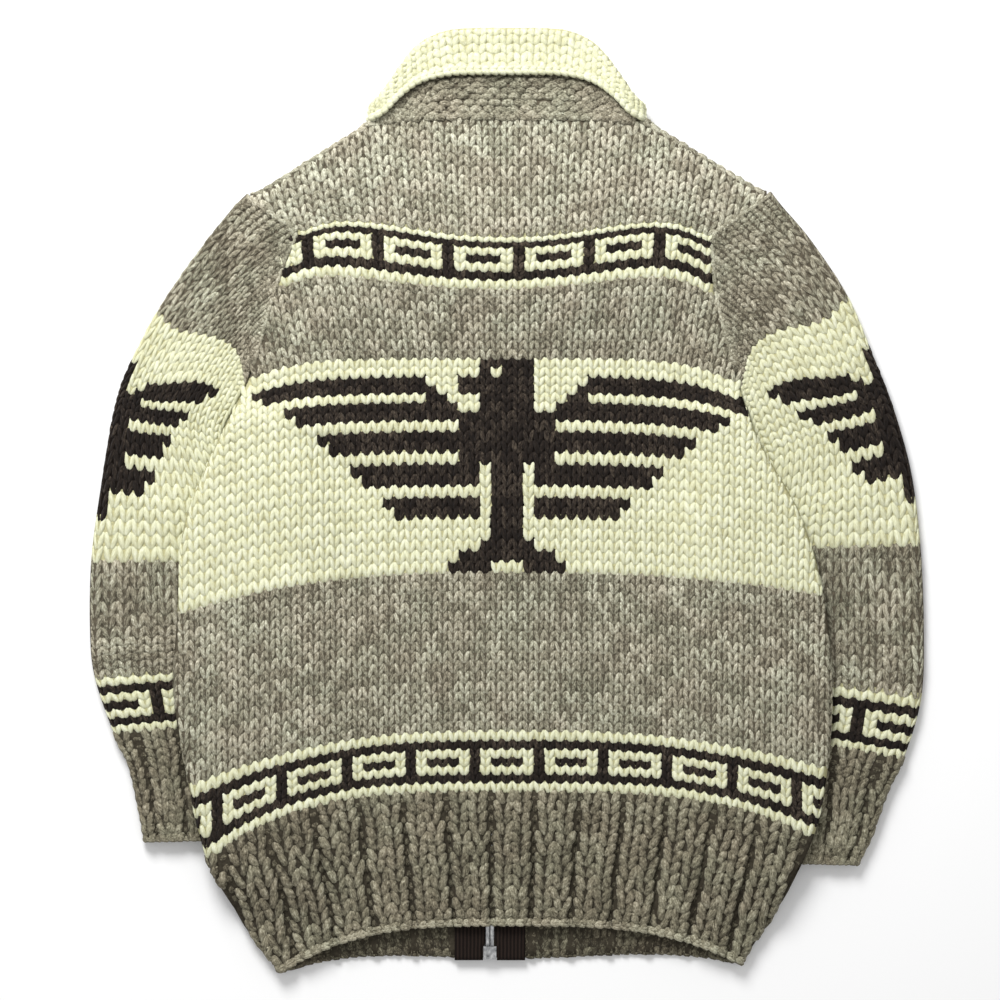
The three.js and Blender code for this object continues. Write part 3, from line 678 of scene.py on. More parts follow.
def strandSwatch(name, count, segments, rings):  # that many strands of yarn, all in one place
    bm = bmesh.new()
    bmesh.ops.create_uvsphere(bm, u_segments=segments, v_segments=rings, radius=1)
    for face in bm.faces:
        face.smooth = True
    mesh = bpy.data.meshes.new(name)
    bm.to_mesh(mesh)
    bm.free()
    template = np.array([corner.co for corner in mesh.vertices])
    piece = linkObject(name, mesh)
    array = piece.modifiers.new("strands", "ARRAY")
    array.count = count
    array.use_relative_offset = False
    array.use_constant_offset = True
    array.constant_offset_displace = (0.01, 0, 0)
    evaluated = piece.evaluated_get(bpy.context.evaluated_depsgraph_get())
    piece.data = bpy.data.meshes.new_from_object(evaluated)
    piece.modifiers.clear()
    return piece, template


# Strands: each runs over the surface from (c0, r0) to (c1, r1), lying at low then high above
# the mid surface, so wide and so thick in millimetres.
# With fit, a strand widens and narrows with the columns, whose usual pitch fit is.
def layYarn(name, surface, strands, wool, segments=6, rings=4, fit=None):
    count = len(strands["c0"])
    if count == 0:
        return None
    piece, template = strandSwatch(name, count, segments, rings)
    field = {key: value[:, None] for key, value in strands.items()}
    t = (template[:, 2] + 1) / 2
    round_ = np.hypot(template[:, 0], template[:, 1])
    plump = np.maximum(round_, 1e-6) ** -0.4 * (round_ > 1e-6)
    side, lift = template[:, 0] * plump, template[:, 1] * plump
    bow = field["bow"] * np.sin(math.pi * t)[None, :]
    column = mix(field["c0"], field["c1"], t[None, :]) + bow
    row = mix(field["r0"], field["r1"], t[None, :])
    point, normal = surface.at(column, row)
    height = mix(field["low"], field["high"], t[None, :]) + field["arch"] * np.sin(math.pi * t)[None, :]
    start = surface.at(column[:, :1] * 0 + field["c0"], field["r0"])[0]
    end = surface.at(field["c1"], field["r1"])[0]
    way = end - start
    way = way / (np.linalg.norm(way, axis=-1, keepdims=True) + 1e-9)
    aside = np.cross(way, normal)
    aside /= np.linalg.norm(aside, axis=-1, keepdims=True) + 1e-9
    point = point + normal * (height + lift * field["thick"] / 2)[..., None]
    halfWidth = field["width"] / 2
    if fit:
        middle = (strands["c0"] + strands["c1"]) / 2
        line = (strands["r0"] + strands["r1"]) / 2
        span = surface.at(middle + 0.5, line)[0] - surface.at(middle - 0.5, line)[0]
        halfWidth = halfWidth * np.clip(np.linalg.norm(span, axis=-1) / fit, 0.7, 1.5)[:, None]
    point = point + aside * (side * halfWidth)[..., None]
    point[..., 2] = np.maximum(point[..., 2], 0.05)
    setCorners(piece.data, point)
    shade = np.broadcast_to(field["shade"], point.shape[:2])
    shades = piece.data.attributes.new("shade", "FLOAT", "POINT").data
    shades.foreach_set("value", shade.astype(np.float32).ravel())
    number = np.broadcast_to(np.arange(count)[:, None] * 0.618, shade.shape)
    strand = np.stack([side + 0 * shade, t * 3 + 0 * shade, number], axis=-1)
    attribute = piece.data.attributes.new("strand", "FLOAT_VECTOR", "POINT")
    attribute.data.foreach_set("vector", strand.astype(np.float32).ravel())
    piece.data.materials.append(materials[wool])
    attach(piece, "garment")
    return piece


# Both legs of each stitch at the given columns and rows. Columns are stitch centres.
def stitchLegs(columns, rows, look):
    count = len(columns)
    shade = rng.random(count)
    jitter = rng.normal(0, 0.025, count)
    plump = rng.normal(1, 0.06, count)
    legs = []
    for hand in (-1, 1):
        turn = rng.normal(0, 0.02, count)
        legs.append({
            "c0": columns + (jitter + hand * look["foot"]),
            "c1": columns + (jitter + turn + hand * look["head"]),
            "r0": rows - look["tuck"], "r1": rows + look["reach"] + 2 * turn,
            "bow": np.full(count, hand * look["bow"]),
            "low": np.full(count, look["low"]), "high": np.full(count, look["high"]),
            "arch": look["arch"] + rng.normal(0, 0.12, count),
            "width": look["width"] * plump, "thick": look["thick"] * plump,
            "shade": np.clip(shade + rng.normal(0, 0.18, count), 0, 1),
        })
    return {key: np.concatenate([leg[key] for leg in legs]) for key in legs[0]}


stocking = {"foot": 0.06, "head": 0.42, "tuck": 0.38, "reach": 1.16, "bow": 0.03, "low": 0.5, "high": 0.2,
            "arch": 0.8, "width": 4.4, "thick": 3.3}
rib = {"foot": 0.045, "head": 0.17, "tuck": 0.42, "reach": 1.2, "bow": 0.01, "low": 0.5, "high": 0.2,
       "arch": 1.0, "width": 7.8, "thick": 5.0}
looks = {
    heather: stocking,
    cream: {**stocking, "width": 4.7, "thick": 3.3},
    dark: {**stocking, "width": 4.8, "thick": 3.3},
}
under = {**stocking, "arch": 0.4, "thick": 2.8, "width": 4.2}
underRib = {**rib, "arch": 0.4, "thick": 3.0}


def chain(columns, row, look):  # a bind-off edge: a chain of loops lying along it
    count = len(columns)
    shade = rng.random(count)
    legs = []
    for hand in (-1, 1):
        legs.append({
            "c0": columns - look["half"], "c1": columns + look["half"],
            "r0": np.full(count, row - 0.05 * hand), "r1": np.full(count, row + look["spread"] * hand),
            "bow": np.zeros(count),
            "low": np.full(count, look["level"]), "high": np.full(count, look["level"] + 0.5),
            "arch": np.full(count, 0.6), "width": np.full(count, look["width"]),
            "thick": np.full(count, look["thick"]), "shade": np.clip(shade + 0.2, 0, 1),
        })
    return {key: np.concatenate([leg[key] for leg in legs]) for key in legs[0]}


# ---- charts ----
# The bird's own sizes in stitches. Lines run down from the top of its band, and column 0 is
# its middle. Its trunk is half as wide as "halves" says at each of "lines".
backBird = {
    "top": 0, "wingTop": 2, "bars": 5, "span": 23, "taper": 3, "shoulder": 10, "root": 3, "lastJoined": 2,
    "lines": (0, 5, 7, 10, 11, 17, 20), "halves": (2, 2, 4, 4, 1, 1, 5), "notch": 2,
    "beak": 2, "beakLines": (2, 3), "eye": (-1, 1),
}
# The sleeve's smaller bird has its middle on the sleeve's outer fold, so one wing shows.
sleeveBird = {
    "top": 4, "wingTop": 1, "bars": 4, "span": 10, "taper": 2, "shoulder": 4, "root": 0, "lastJoined": 4,
    "lines": (0, 3, 5, 11, 13), "halves": (0, 0, 1, 1, 0), "notch": 0, "beak": 0,
}
barStep = 3  # two dark rows and a cream one


# A spread-winged bird from its sizes in stitches: barred wings, each bar shorter than the one above,
# shoulders that slope up and out from the breast, a head with a short beak, and a fanned tail.
def birdStitches(column, line, look):
    out = np.abs(column)
    down = line - look["top"]
    lines, halves = look["lines"], look["halves"]
    inBird = (down >= lines[0]) & (down <= lines[-1])
    trunk = inBird & (out <= np.round(np.interp(down, lines, halves)))
    trunk &= ~((down == lines[-1]) & (out < look["notch"]))
    bar, inBar = np.divmod(down - look["wingTop"], barStep)
    slope = look["shoulder"] - down
    inner = np.maximum(slope, np.where(bar > look["lastJoined"], look["root"], 0))
    reach = look["span"] - look["taper"] * bar - np.where(inBar == 0, 0, 1)
    inWing = (bar >= 0) & (bar < look["bars"])
    wing = inWing & (inBar < barStep - 1) & (out >= inner) & (out <= reach)
    arm = inWing & (slope > 0) & (out >= slope) & (out <= slope + 1)
    bird = trunk | wing | arm
    if not look["beak"]:
        return bird
    head = halves[0]
    first, last = look["beakLines"]
    beak = (column < 0) & (out > head) & (out <= head + look["beak"]) & (down >= first) & (down <= last)
    eyeColumn, eyeLine = look["eye"]
    return (bird | beak) & ~((column == eyeColumn) & (down == eyeLine))


def boxChart(column, line, centre):  # line 0 is the band's lowest row
    step = np.mod(column - centre + boxRepeat // 2, boxRepeat)  # 0 is the bar, 3 the box's centre
    isDark = (line == 1) | (line == 5)
    isDark |= (step == 0) & (line > 1) & (line < 5)
    isDark |= (step >= 2) & (step <= 4) & (line == 3)
    return np.where(isDark, dark, cream)


def bodyWool(column, row):
    column, row = np.round(column).astype(int), np.floor(row).astype(int)
    wool = np.full(column.shape, heather)
    for name, centre in (("low", 0), ("high", -2)):
        first, last = bandRows[name]
        inBand = (row >= first) & (row < last)
        wool = np.where(inBand, boxChart(column, row - first, centre), wool)
    first, last = bandRows["cream"]
    inBand = (row >= first) & (row < last)
    line = last - 1 - row
    bird = birdStitches(column, line, backBird)
    return np.where(inBand, np.where(bird, dark, cream), wool)


def frontWool(column, row):  # the fronts' bands run on, with no bird
    wool = bodyWool(column, row)
    first, last = bandRows["cream"]
    return np.where((row >= first) & (row < last), cream, wool)


def sleeveWool(column, row):
    column, row = np.floor(column).astype(int), np.floor(row).astype(int)
    count = knit["sleeveColumns"]
    column = np.mod(column, count)
    inward = np.minimum(column, count - 1 - column)
    wool = np.full(column.shape, heather)
    foot, top = knit["sleeveRows"][1:3]
    wool = np.where((row >= foot) & (row < top), boxChart(inward, row - foot, 1), wool)
    foot, top = knit["sleeveRows"][3:5]
    bird = birdStitches(inward, top - 1 - row, sleeveBird)
    return np.where((row >= foot) & (row < top), np.where(bird, dark, cream), wool)


# ---- shells ----
shellLook = {"thick": 2.4}


# shape(a, b) gives points and wools for shares a across and b up.
def clothShell(name, shape, across, up, nodes, closed=False):
    bm = bmesh.new()
    bmesh.ops.create_grid(bm, x_segments=across, y_segments=up, size=0.5)
    for face in bm.faces:
        face.smooth = True
    mesh = bpy.data.meshes.new(name)
    bm.to_mesh(mesh)
    bm.free()
    corners = np.array([corner.co for corner in mesh.vertices]) + 0.5
    setCorners(mesh, shape(corners[:, 0], corners[:, 1])[0])
    middles = np.array([np.mean([corners[k] for k in face.vertices], axis=0) for face in mesh.polygons])
    wool = shape(middles[:, 0], middles[:, 1])[1]
    attribute = mesh.attributes.new("wool", "FLOAT", "FACE")
    attribute.data.foreach_set("value", wool.astype(np.float32))
    if closed:
        bm = bmesh.new()
        bm.from_mesh(mesh)
        bmesh.ops.remove_doubles(bm, verts=bm.verts, dist=0.00005)
        bmesh.ops.recalc_face_normals(bm, faces=bm.faces)
        bm.to_mesh(mesh)
        bm.free()
    area = sum(face.area for face in mesh.polygons)
    mesh.materials.append(ground)
    piece = linkObject(name, mesh)
    wall = piece.modifiers.new("wall", "SOLIDIFY")
    wall.thickness = shellLook["thick"] * milli
    wall.offset = 0
    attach(piece, "garment")
    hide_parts(*nodes)
    print(f"{name}: {len(mesh.polygons)} faces, {area:.4f} m2")
    return piece


def panelShape(side, wool):
    turned = 0.02  # share of the way up that goes round the shoulder

    def shape(a, b):
        rise = np.minimum(b / (1 - turned), 1)
        v = mix(ribTop + 0.004, yoke + 1, rise)
        beyond = np.maximum(b - (1 - turned), 0) / turned * turnLength
        leftEdge, rightEdge, start, end = flatSpan(side, v)
        start = start - (0 if side > 0 else turnLength)
        end = end + (0 if side < 0 else turnLength)
        s = mix(start, end, a)
        row = np.interp(v, knit["placeKnots"], knit["rowKnots"]) + np.maximum(v - yoke, 0) * 12
        column = s / np.interp(v, knit["pitchPlaces"], knit["pitch"])
        return panelPoint(side, s, v, beyond), wool(column, row)
    return shape


def ribShape(side):
    def shape(a, b):
        row = b * (knit["ribRows"] - 0.03)
        v = ribTop * row / knit["ribRows"]
        leftEdge, rightEdge, start, end = flatSpan(side, v)
        start = start - (0 if side > 0 else turnLength)
        end = end + (0 if side < 0 else turnLength)
        pitch, shift = ribSpread(v)
        column = (mix(start, end, a) - shift) / pitch
        return ribPoint(side)(column, row), np.full(a.shape, ribShadedHeather)
    return shape


# ---- back ----
def stitchesOn(side, wool, woolAt, rows):
    across = np.arange(-knit["halfColumns"], knit["halfColumns"] + 1.0)
    columns, lines = np.meshgrid(across, np.arange(0.0, rows))
    columns, lines = columns.ravel(), lines.ravel()
    keep = stitchOnPanel(side, columns, lines + 0.5) & (woolAt(columns, lines + 0.1) == wool)
    return columns[keep], lines[keep]


def ribStitches(side):
    pairs = np.arange(-8.0, 9)
    columns = np.concatenate([pairs - 0.21, pairs + 0.21])
    columns, lines = np.meshgrid(columns, np.arange(0.0, knit["ribRows"]))
    columns, lines = columns.ravel(), lines.ravel()
    v = ribTop * (lines + 0.5) / knit["ribRows"]
    pitch, shift = ribSpread(v)
    s = columns * pitch + shift
    leftEdge, rightEdge, start, end = flatSpan(side, v)
    past = np.maximum(start - s, s - end)
    limit = np.where(np.where(s < start, side > 0, side < 0), -3, turnLength + 1)
    keep = past <= limit
    return columns[keep], lines[keep]


def purlBumps(side, rows):  # the purl stitches down in the valleys, lying across them
    columns, lines = np.meshgrid(np.arange(-8.5, 9), np.arange(0.2, rows))
    columns, lines = columns.ravel(), lines.ravel()
    v = ribTop * lines / knit["ribRows"]
    pitch, shift = ribSpread(v)
    leftEdge, rightEdge, start, end = flatSpan(side, v)
    s = columns * pitch + shift
    keep = (s > start) & (s < end)
    return crossBumps(columns[keep], lines[keep], 0.12, 8.0)


def crossBumps(columns, lines, half, width):
    count = len(columns)
    return {
        "c0": columns - half, "c1": columns + half,
        "r0": lines + rng.normal(0, 0.06, count), "r1": lines + rng.normal(0, 0.06, count),
        "bow": np.zeros(count), "low": np.full(count, 0.2), "high": np.full(count, 0.2),
        "arch": np.full(count, 0.1), "width": np.full(count, float(width)), "thick": np.full(count, 2.6),
        # Painted shade: the purl bumps are darker, down in the shadowed valleys between the ribs.
        "shade": rng.random(count) * 0.6 - 0.9,
    }


def hemColumns(side):  # where the bind-off's loops lie
    pitch, shift = ribSpread(np.float64(0))
    leftEdge, rightEdge, start, end = (float(x) for x in flatSpan(side, np.float64(0)))
    start = start - (0 if side > 0 else turnLength)
    end = end + (0 if side < 0 else turnLength)
    count = int(round((end - start) / 7.2))
    return ((np.arange(count) + 0.5) / count * (end - start) + start - shift) / pitch


def shoulderChain(side, look):
    step = 0.75
    spans = {-1: (-20.2, -10.6), 1: (10.6, 20.2)}
    loops = []
    for hand in ((side,) if side else (-1, 1)):
        first, last = spans[hand]
        starts = np.arange(first, last, step)
        loop = chain(starts + step / 2, 0.0, {**look, "half": 0.5, "spread": 0.3})
        middle = np.concatenate([starts, starts]) + step / 2
        for key, end in (("r0", -0.5), ("r1", 0.5)):
            loop[key] += knit["rowKnots"][-1] + (yokeLength(side, middle + end) + 4.2) / knit["rowPitch"]
        loops.append(loop)
    return {key: np.concatenate([loop[key] for loop in loops]) for key in loops[0]}


edgeChain = {"half": 0.15, "spread": 0.28, "level": 0.6, "width": 4.6, "thick": 4.2}
rows = knit["rowKnots"][-1] + knit["yokeRows"]
names = {0: "back", -1: "front_left", 1: "front_right"}
ribNames = {0: "back_rib", -1: "front_rib_left", 1: "front_rib_right"}
shells, yarns = {}, {}
for side, name in names.items():
    facing = 1 if side == 0 else -1
    woolAt = frontWool if side else bodyWool
    surface = Surface(bodyPoint(side), -knit["halfColumns"] - 1, knit["halfColumns"] + 1, rows, facing)
    cells = (100, 120) if side == 0 else (30, 70)
    shells[name] = clothShell(f"{name}_ground", panelShape(side, woolAt), *cells, [name])
    for wool in (heather, cream, dark):
        facts = wools[wool]
        columns, lines = stitchesOn(side, wool, woolAt, rows)
        look, detail = looks[wool], (6, 4)
        if side:
            look, detail = under, (6, 3)
        legs = stitchLegs(columns, lines, look)
        # Painted light: the body's strands grow lighter towards the shoulders, where the light falls
        # brighter.
        legs["shade"] += 0.35 * smooth(legs["r0"], 48, 66)
        yarns[name, wool] = layYarn(f"{name}_{facts['name']}", surface, legs, wool, *detail, fit=8.9)
        print(name, facts["name"], len(columns), "stitches")
    loops = shoulderChain(side, edgeChain)
    yarns[name, "shoulder"] = layYarn(f"{name}_shoulder_edge", surface, loops, heather, 6, 4)

    ribSurface = Surface(ribPoint(side), -9, 9, knit["ribRows"] + 1, facing, 16)
    name = ribNames[side]
    shells[name] = clothShell(f"{name}_ground", ribShape(side), 120 if side == 0 else 56, 14, [name])
    columns, lines = ribStitches(side)
    legs = stitchLegs(columns, lines, underRib if side else rib)
    yarns[name, "ribs"] = layYarn(f"{name}_yarn", ribSurface, legs, ribShadedHeather, 6, 3 if side else 4)
    yarns[name, "purl"] = layYarn(f"{name}_purl", ribSurface, purlBumps(side, knit["ribRows"]), ribShadedHeather, 6, 3)
    loops = chain(hemColumns(side), 0.15, {**edgeChain, "width": 5.4, "thick": 5.2, "spread": 0.4})
    # Painted shadow: the fronts' hem edges are darker, under the back's hem; the back's edge is a lighter
    # rope.
    loops["shade"] += -0.6 if side else 0.9
    yarns[name, "edge"] = layYarn(f"{name}_edge", ribSurface, loops, ribShadedHeather, 6, 4)
    if side:
        inside = Surface(ribPoint(side), -9, 9, knit["ribRows"] + 1, 1, 16)
        low = lines < 6
        legs = stitchLegs(columns[low], lines[low], underRib)
        # Painted shadow: the inside strands are darker, lying in the shadow of the back's hem.
        legs["shade"] -= 1.2
        yarns[name, "inside"] = layYarn(f"{name}_inside", inside, legs, ribShadedHeather, 6, 3)
        bumps = purlBumps(side, 6)
        yarns[name, "insidePurl"] = layYarn(f"{name}_inside_purl", inside, bumps, ribShadedHeather, 6, 3)
print("body knitted")


# ---- sleeves ----
def tubeShape(tube, first, last, wool, columns):
    def shape(a, b):
        column, row = a * columns, mix(first, last, b)
        return tube(column, row), wool(column, row)
    return shape


def ribbed(column, row):
    return np.full(np.shape(column), ribShadedHeather)


for hand, side in ((-1, "left"), (1, "right")):
    tube, cuff = sleeveTube(hand), cuffPoint(hand)
    count, cuffRows, allRows = knit["sleeveColumns"], knit["sleeveRows"][1], knit["sleeveRows"][-1]
    name = f"sleeve_{side}"
    shape = tubeShape(tube, cuffRows + 0.05, allRows, sleeveWool, count)
    shells[name] = clothShell(f"{name}_ground", shape, 56, 80, [name], True)
    surface = Surface(tube, -2, count + 2, allRows + 1, -hand)
    for wool in (heather, cream, dark):
        facts = wools[wool]
        columns, lines = np.meshgrid(np.arange(count) + 0.5, np.arange(float(cuffRows), allRows))
        columns, lines = columns.ravel(), lines.ravel()
        keep = sleeveWool(columns, lines + 0.1) == wool
        columns, lines = columns[keep], lines[keep]
        onTop = columns < count / 2 + 1
        for part, chosen in (("top", onTop), ("low", ~onTop)):
            look = looks[wool] if part == "top" else under
            legs = stitchLegs(columns[chosen], lines[chosen], look)
            # Painted shade: the sleeves' strands are darker than the body's, more so near the shoulder.
            legs["shade"] -= 0.2 + 0.05 * smooth(legs["r0"], 44, 54)
            detail = (6, 4) if part == "top" else (6, 3)
            pieceName = f"{name}_{facts['name']}_{part}"
            yarns[name, wool, part] = layYarn(pieceName, surface, legs, wool, *detail, fit=8.9)
    seamChain = {**edgeChain, "half": 0.4, "width": 3.6, "thick": 3}
    loops = chain(np.arange(-0.4, count / 2, 0.5), allRows - 0.2, seamChain)
    yarns[name, "seam"] = layYarn(f"{name}_seam", surface, loops, heather, 6, 3)
    name = f"cuff_{side}"
    shape = tubeShape(cuff, 0, cuffRows - 0.05, ribbed, count / 4)
    shells[name] = clothShell(f"{name}_ground", shape, 84, 14, [name], True)
    cuffSurface = Surface(cuff, -1, count / 4 + 1, cuffRows + 1, -hand, 16)
    pairs = np.arange(0.0, count / 4)
    columns, lines = np.meshgrid(np.concatenate([pairs - 0.2, pairs + 0.2]) + 0.0, np.arange(0.0, cuffRows))
    cuffLook = {**rib, "width": 7.2, "thick": 4.0, "arch": 0.8}
    legs = stitchLegs(columns.ravel(), lines.ravel(), cuffLook)
    yarns[name, "ribs"] = layYarn(f"{name}_yarn", cuffSurface, legs, ribShadedHeather)
    columns, lines = (grid.ravel() for grid in np.meshgrid(pairs + 0.5, np.arange(0.2, cuffRows)))
    bumps = crossBumps(columns, lines, 0.15, 7)
    yarns[name, "purl"] = layYarn(f"{name}_purl", cuffSurface, bumps, ribShadedHeather, 6, 3)
    endChain = {**edgeChain, "half": 0.16, "width": 3.8, "thick": 3.4}
    loops = chain(np.arange(0.0, count / 4, 0.25), 0.05, endChain)
    yarns[name, "edge"] = layYarn(f"{name}_edge", cuffSurface, loops, ribShadedHeather)
print("sleeves knitted")

# ---- collar ----
collarPoint, firstColumn, lastColumn = collarBand()
foldRow, seamRow = 5.5, knit["collarRows"][-1]


def collarShape(a, b):
    column, row = mix(firstColumn, lastColumn, a), b * seamRow
    return collarPoint(column, row), np.where(row < foldRow, cream, heather)


shells["collar"] = clothShell("collar_ground", collarShape, 140, 36, ["collar"])
outer = Surface(collarPoint, firstColumn, lastColumn, seamRow, 1)
inner = Surface(collarPoint, firstColumn, lastColumn, seamRow, -1)
columns = np.arange(math.ceil(firstColumn), math.floor(lastColumn) + 1.0)
across, up = (grid.ravel() for grid in np.meshgrid(columns, np.arange(0.3, foldRow)))
collarLook = {**looks[cream], "width": 7.0, "thick": 3.8, "tuck": 0.35, "arch": 0.6}
legs = stitchLegs(across, up, collarLook)
# Painted shade: the fall's strands are darker, against the key light that it faces.
legs["shade"] -= 0.35
yarns["collar", "fall"] = layYarn("collar_fall_yarn", outer, legs, cream)
collarRope = {**edgeChain, "half": 0.42, "spread": 0.55, "width": 5.4, "thick": 5.4}
loops = chain(np.arange(columns[0], columns[-1], 0.6), 0.15, collarRope)
yarns["collar", "edge"] = layYarn("collar_edge", outer, loops, cream)


def garter(columns, row):  # a ridge of purl bumps
    count = len(columns)
    shade = rng.random(count)
    return {
        "c0": columns - 0.58, "c1": columns + 0.58,
        "r0": row + rng.normal(0, 0.07, count), "r1": row + rng.normal(0, 0.07, count),
        "bow": np.zeros(count), "low": np.full(count, 0.2), "high": np.full(count, 0.4),
        "arch": rng.normal(1.2, 0.2, count), "width": rng.normal(7.4, 0.4, count),
        "thick": np.full(count, 5.0),
        # Painted shadow: the ridges nearest the fold, rows below 13, are darker, under the fall's edge.
        "shade": shade * 0.6 + 0.7 * smooth(row, 10.5, 13) - 0.7,
    }


ridgeRows = [middle + half for middle in (14.5, 13.4, 12.3, 11.2, 10.1) for half in (0, 0.5)]
ridges = [garter(columns[:-1] + 0.5 * (k % 2) + rng.normal(0, 0.06, len(columns) - 1), row)
          for k, row in enumerate(ridgeRows)]
ridges = {key: np.concatenate([ridge[key] for ridge in ridges]) for key in ridges[0]}
yarns["collar", "stand"] = layYarn("collar_stand_yarn", inner, ridges, heather)
across, up = (grid.ravel() for grid in np.meshgrid(columns, np.arange(6.0, seamRow)))
yarns["collar", "lining"] = layYarn("collar_inside_yarn", outer, stitchLegs(across, up, under), heather, 6, 3)
print("collar knitted")

# ---- zip ----
zipSizes = {
    "level": form["wall"] + 2 * form["seamGap"] + 0.5,
    "tapeIn": 3.9, "tapeOut": 29, "tapeFoot": -379, "tapeTop": 223, "tapeThick": 0.9,
    "cutBack": 5.7, "cutTo": -366,
    "toothPitch": 3.0, "toothWide": 1.35, "toothThick": 2.8, "toothFoot": -349, "toothTop": 207,
    "toothOut": 3.6, "toothHead": 1.1,
}


def tapeMaterial():
    shader = Shader("woven_tape", Roughness=0.9, Specular_IOR_Level=0.08)
    place = shader.objectPlace()
    weave = shader.node("ShaderNodeTexWave", {"wave_type": "BANDS", "bands_direction": "DIAGONAL"}, {
        "Vector": place, "Scale": 620.0, "Distortion": 1.5, "Detail": 2.0})
    wales = shader.node("ShaderNodeTexWave", {"wave_type": "BANDS", "bands_direction": "X"}, {
        "Vector": place, "Scale": 105.0, "Distortion": 0.8, "Detail": 1.0})
    height = Value(shader, weave.outputs["Fac"]) * 0.4 + Value(shader, wales.outputs["Fac"]) * 0.6
    # The tape's own dark brown, made darker still as painted shadow under the back's hem.
    stops = [(0.15, colour(18, 14, 12)), (0.6, colour(33, 26, 23)), (0.95, colour(48, 38, 33))]
    shader.feed(shader.main.inputs["Base Color"], shader.ramp(height, stops))
    shader.bump(height, 0.0004, 0.7)
    return shader.material


def metalMaterial():
    shader = Shader("zip_metal", Metallic=1.0)
    place = shader.objectPlace()
    brush = shader.noise(shader.stretch(place, (1400.0, 260.0, 900.0)), 1.0, 3)
    tarnish = shader.noise(place, 260.0, 3)
    stops = [(0.3, colour(112, 114, 116)), (0.5, colour(176, 177, 178)), (0.7, colour(230, 230, 229))]
    shader.feed(shader.main.inputs["Base Color"], shader.ramp(tarnish * 0.7 + brush * 0.3, stops))
    shader.feed(shader.main.inputs["Roughness"], tarnish * 0.25 + 0.18)
    shader.bump(brush, 0.00008, 0.5)
    return shader.material


tapeCloth, metal = tapeMaterial(), metalMaterial()


def zipTape(hand, side):
    sizes = zipSizes

    def shape(a, b):
        y = mix(sizes["tapeFoot"], sizes["tapeTop"], b)
        near = np.where(y <= sizes["cutTo"], sizes["cutBack"], sizes["tapeIn"])
        x = form["zipX"] + hand * mix(near, sizes["tapeOut"], a if hand > 0 else 1 - a)
        z = sizes["level"] + rideUp(np.full_like(y, form["zipX"]), y)
        return np.stack([x, y, z], axis=-1), np.zeros(a.shape)

    piece = clothShell(f"zip_tape_{side}_cloth", shape, 6, 180, [f"zip_tape_{side}"])
    piece.data.materials[0] = tapeCloth
    piece.modifiers["wall"].thickness = sizes["tapeThick"] * milli
    return piece


def zipTeeth(hand, side):  # each tooth's head reaches past the middle, between two of the other side's
    sizes = zipSizes
    reach = sizes["toothOut"] + sizes["toothHead"]
    bm = bmesh.new()
    bmesh.ops.create_cube(bm, size=1)
    bmesh.ops.scale(bm, vec=(reach, sizes["toothWide"], sizes["toothThick"]), verts=bm.verts)
    bmesh.ops.bevel(bm, geom=bm.edges[:], offset=0.3, affect="EDGES", segments=1, profile=0.5, material=-1)
    bmesh.ops.translate(bm, vec=(hand * (reach / 2 - sizes["toothHead"]), 0, 0), verts=bm.verts)
    mesh = bpy.data.meshes.new(f"zip_teeth_{side}_metal")
    bm.to_mesh(mesh)
    bm.free()
    piece = linkObject(mesh.name, mesh)
    array = piece.modifiers.new("teeth", "ARRAY")
    array.count = int((sizes["toothTop"] - sizes["toothFoot"]) / sizes["toothPitch"])
    array.use_relative_offset = False
    array.use_constant_offset = True
    array.constant_offset_displace = (0, sizes["toothPitch"], 0)
    evaluated = piece.evaluated_get(bpy.context.evaluated_depsgraph_get())
    piece.data = bpy.data.meshes.new_from_object(evaluated)
    piece.modifiers.clear()
    points = np.array([corner.co for corner in piece.data.vertices])
    points[:, 0] += form["zipX"]
    points[:, 1] += sizes["toothFoot"] + (sizes["toothPitch"] / 2 if hand > 0 else 0)
    points[:, 2] += sizes["level"] + rideUp(np.full(len(points), form["zipX"]), points[:, 1])
    setCorners(piece.data, points)
    piece.data.materials.append(metal)
    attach(piece, "garment")
    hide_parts(f"zip_teeth_{side}")
    return piece


for hand, side in ((-1, "left"), (1, "right")):
    shells[f"tape_{side}"] = zipTape(hand, side)
    yarns[f"tape_{side}", "teeth"] = zipTeeth(hand, side)
for node in ("zip_pin_left", "zip_pin_right", "zip_box", "zip_slider", "zip_bail", "zip_pull_tab"):
    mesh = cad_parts[node].data
    mesh.materials.clear()
    mesh.materials.append(metal)
print("zip made")

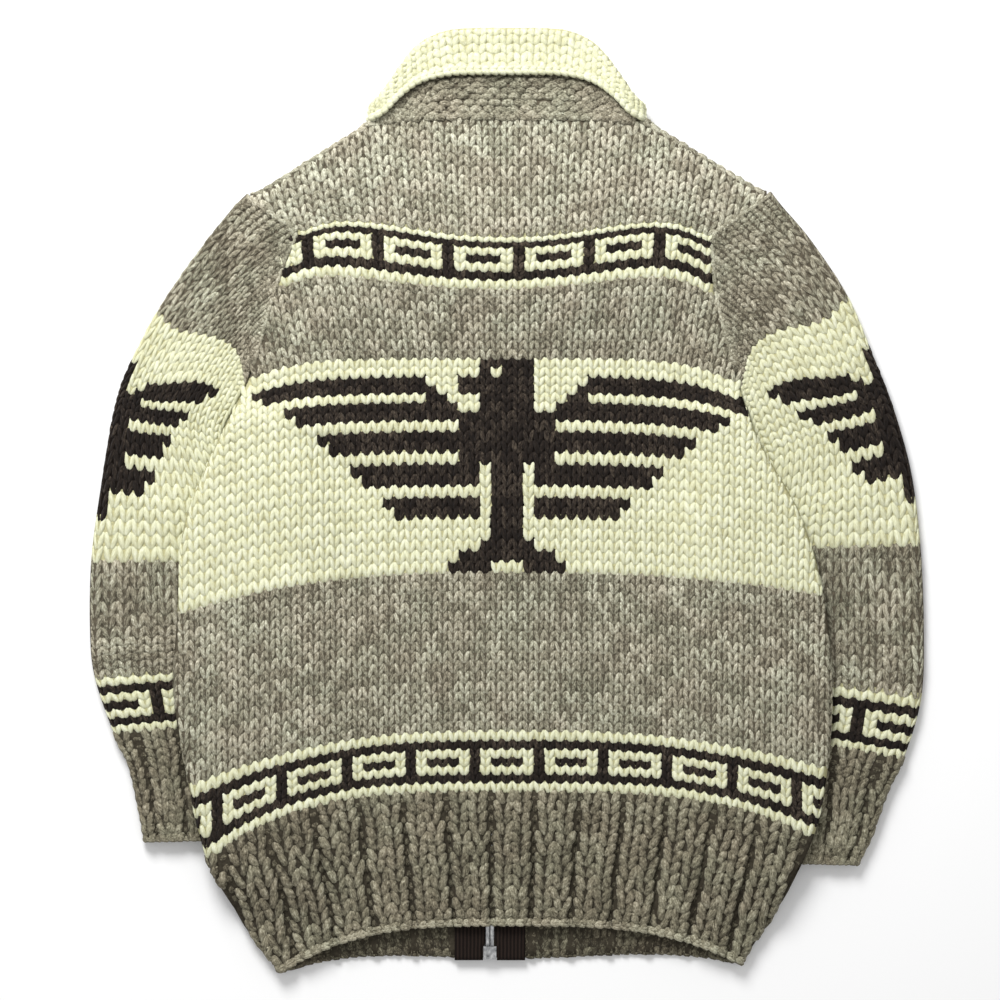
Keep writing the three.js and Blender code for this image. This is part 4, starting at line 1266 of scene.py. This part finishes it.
# ---- floor, light and camera ----
studio = {
    "floor": 8.0, "centre": (-0.0057, -0.0008), "width": 0.82, "lens": 110, "sensor": 36,
    "world": 0.66, "key": 46.0, "keySize": 0.9, "keyPlace": (-0.5, 1.4, 1.3),
}
bm = bmesh.new()
bmesh.ops.create_grid(bm, x_segments=2, y_segments=2, size=studio["floor"] / 2)
floorMesh = bpy.data.meshes.new("floor")
bm.to_mesh(floorMesh)
bm.free()
floor = linkObject("floor", floorMesh)
floorShader = Shader("pale_floor", Roughness=0.9, Specular_IOR_Level=0.1, Base_Color=(0.86, 0.86, 0.86, 1))
floorMesh.materials.append(floorShader.material)

world = bpy.data.worlds.new("studio")
bpy.context.scene.world = world
world.use_nodes = True
world.node_tree.nodes["Background"].inputs["Color"].default_value = (1, 1, 1, 1)
world.node_tree.nodes["Background"].inputs["Strength"].default_value = studio["world"]


def softLight(name, place, size, power):
    lamp = bpy.data.lights.new(name, "AREA")
    lamp.shape = "DISK"
    lamp.size = size
    lamp.energy = power
    light = linkObject(name, lamp)
    light.location = place
    light.rotation_euler = (-Vector(place)).to_track_quat("-Z", "Y").to_euler()


softLight("key", studio["keyPlace"], studio["keySize"], studio["key"])

lens = bpy.data.cameras.new("camera")
lens.lens = studio["lens"]
lens.sensor_width = studio["sensor"]
lens.clip_end = 20
camera = linkObject("camera", lens)
distance = studio["width"] * studio["lens"] / studio["sensor"]
camera.location = (*studio["centre"], distance + 0.012)
bpy.context.scene.camera = camera
bpy.context.scene.view_settings.view_transform = "Standard"

# ---- the cut of the cloth, lying flat ----
# Width, length and area in metres.
cuts = {
    "back": (0.55, 0.55, 0.25), "back_rib": (0.50, 0.115, 0.054),
    "front_left": (0.27, 0.52, 0.115), "front_right": (0.28, 0.52, 0.12),
    "front_rib_left": (0.24, 0.115, 0.0245), "front_rib_right": (0.26, 0.115, 0.0285),
    "sleeve_left": (0.34, 0.46, 0.1), "sleeve_right": (0.34, 0.48, 0.112),
    "cuff_left": (0.21, 0.09, 0.0186), "cuff_right": (0.21, 0.095, 0.0198),
    "collar": (0.5, 0.12, 0.036), "tape_left": (0.0251, 0.602, 0.015), "tape_right": (0.0251, 0.602, 0.015),
}
under = {  # what lies below each piece that isn't on the floor
    "back": ("front_left", "front_right"), "back_rib": ("front_rib_left", "front_rib_right"),
    "tape_left": ("front_left",), "tape_right": ("front_right",), "collar": ("front_left", "front_right"),
}
for name, (wide, tall, area) in cuts.items():
    onIt = [piece for key, piece in yarns.items() if key[0] == name and piece]

print("ready")
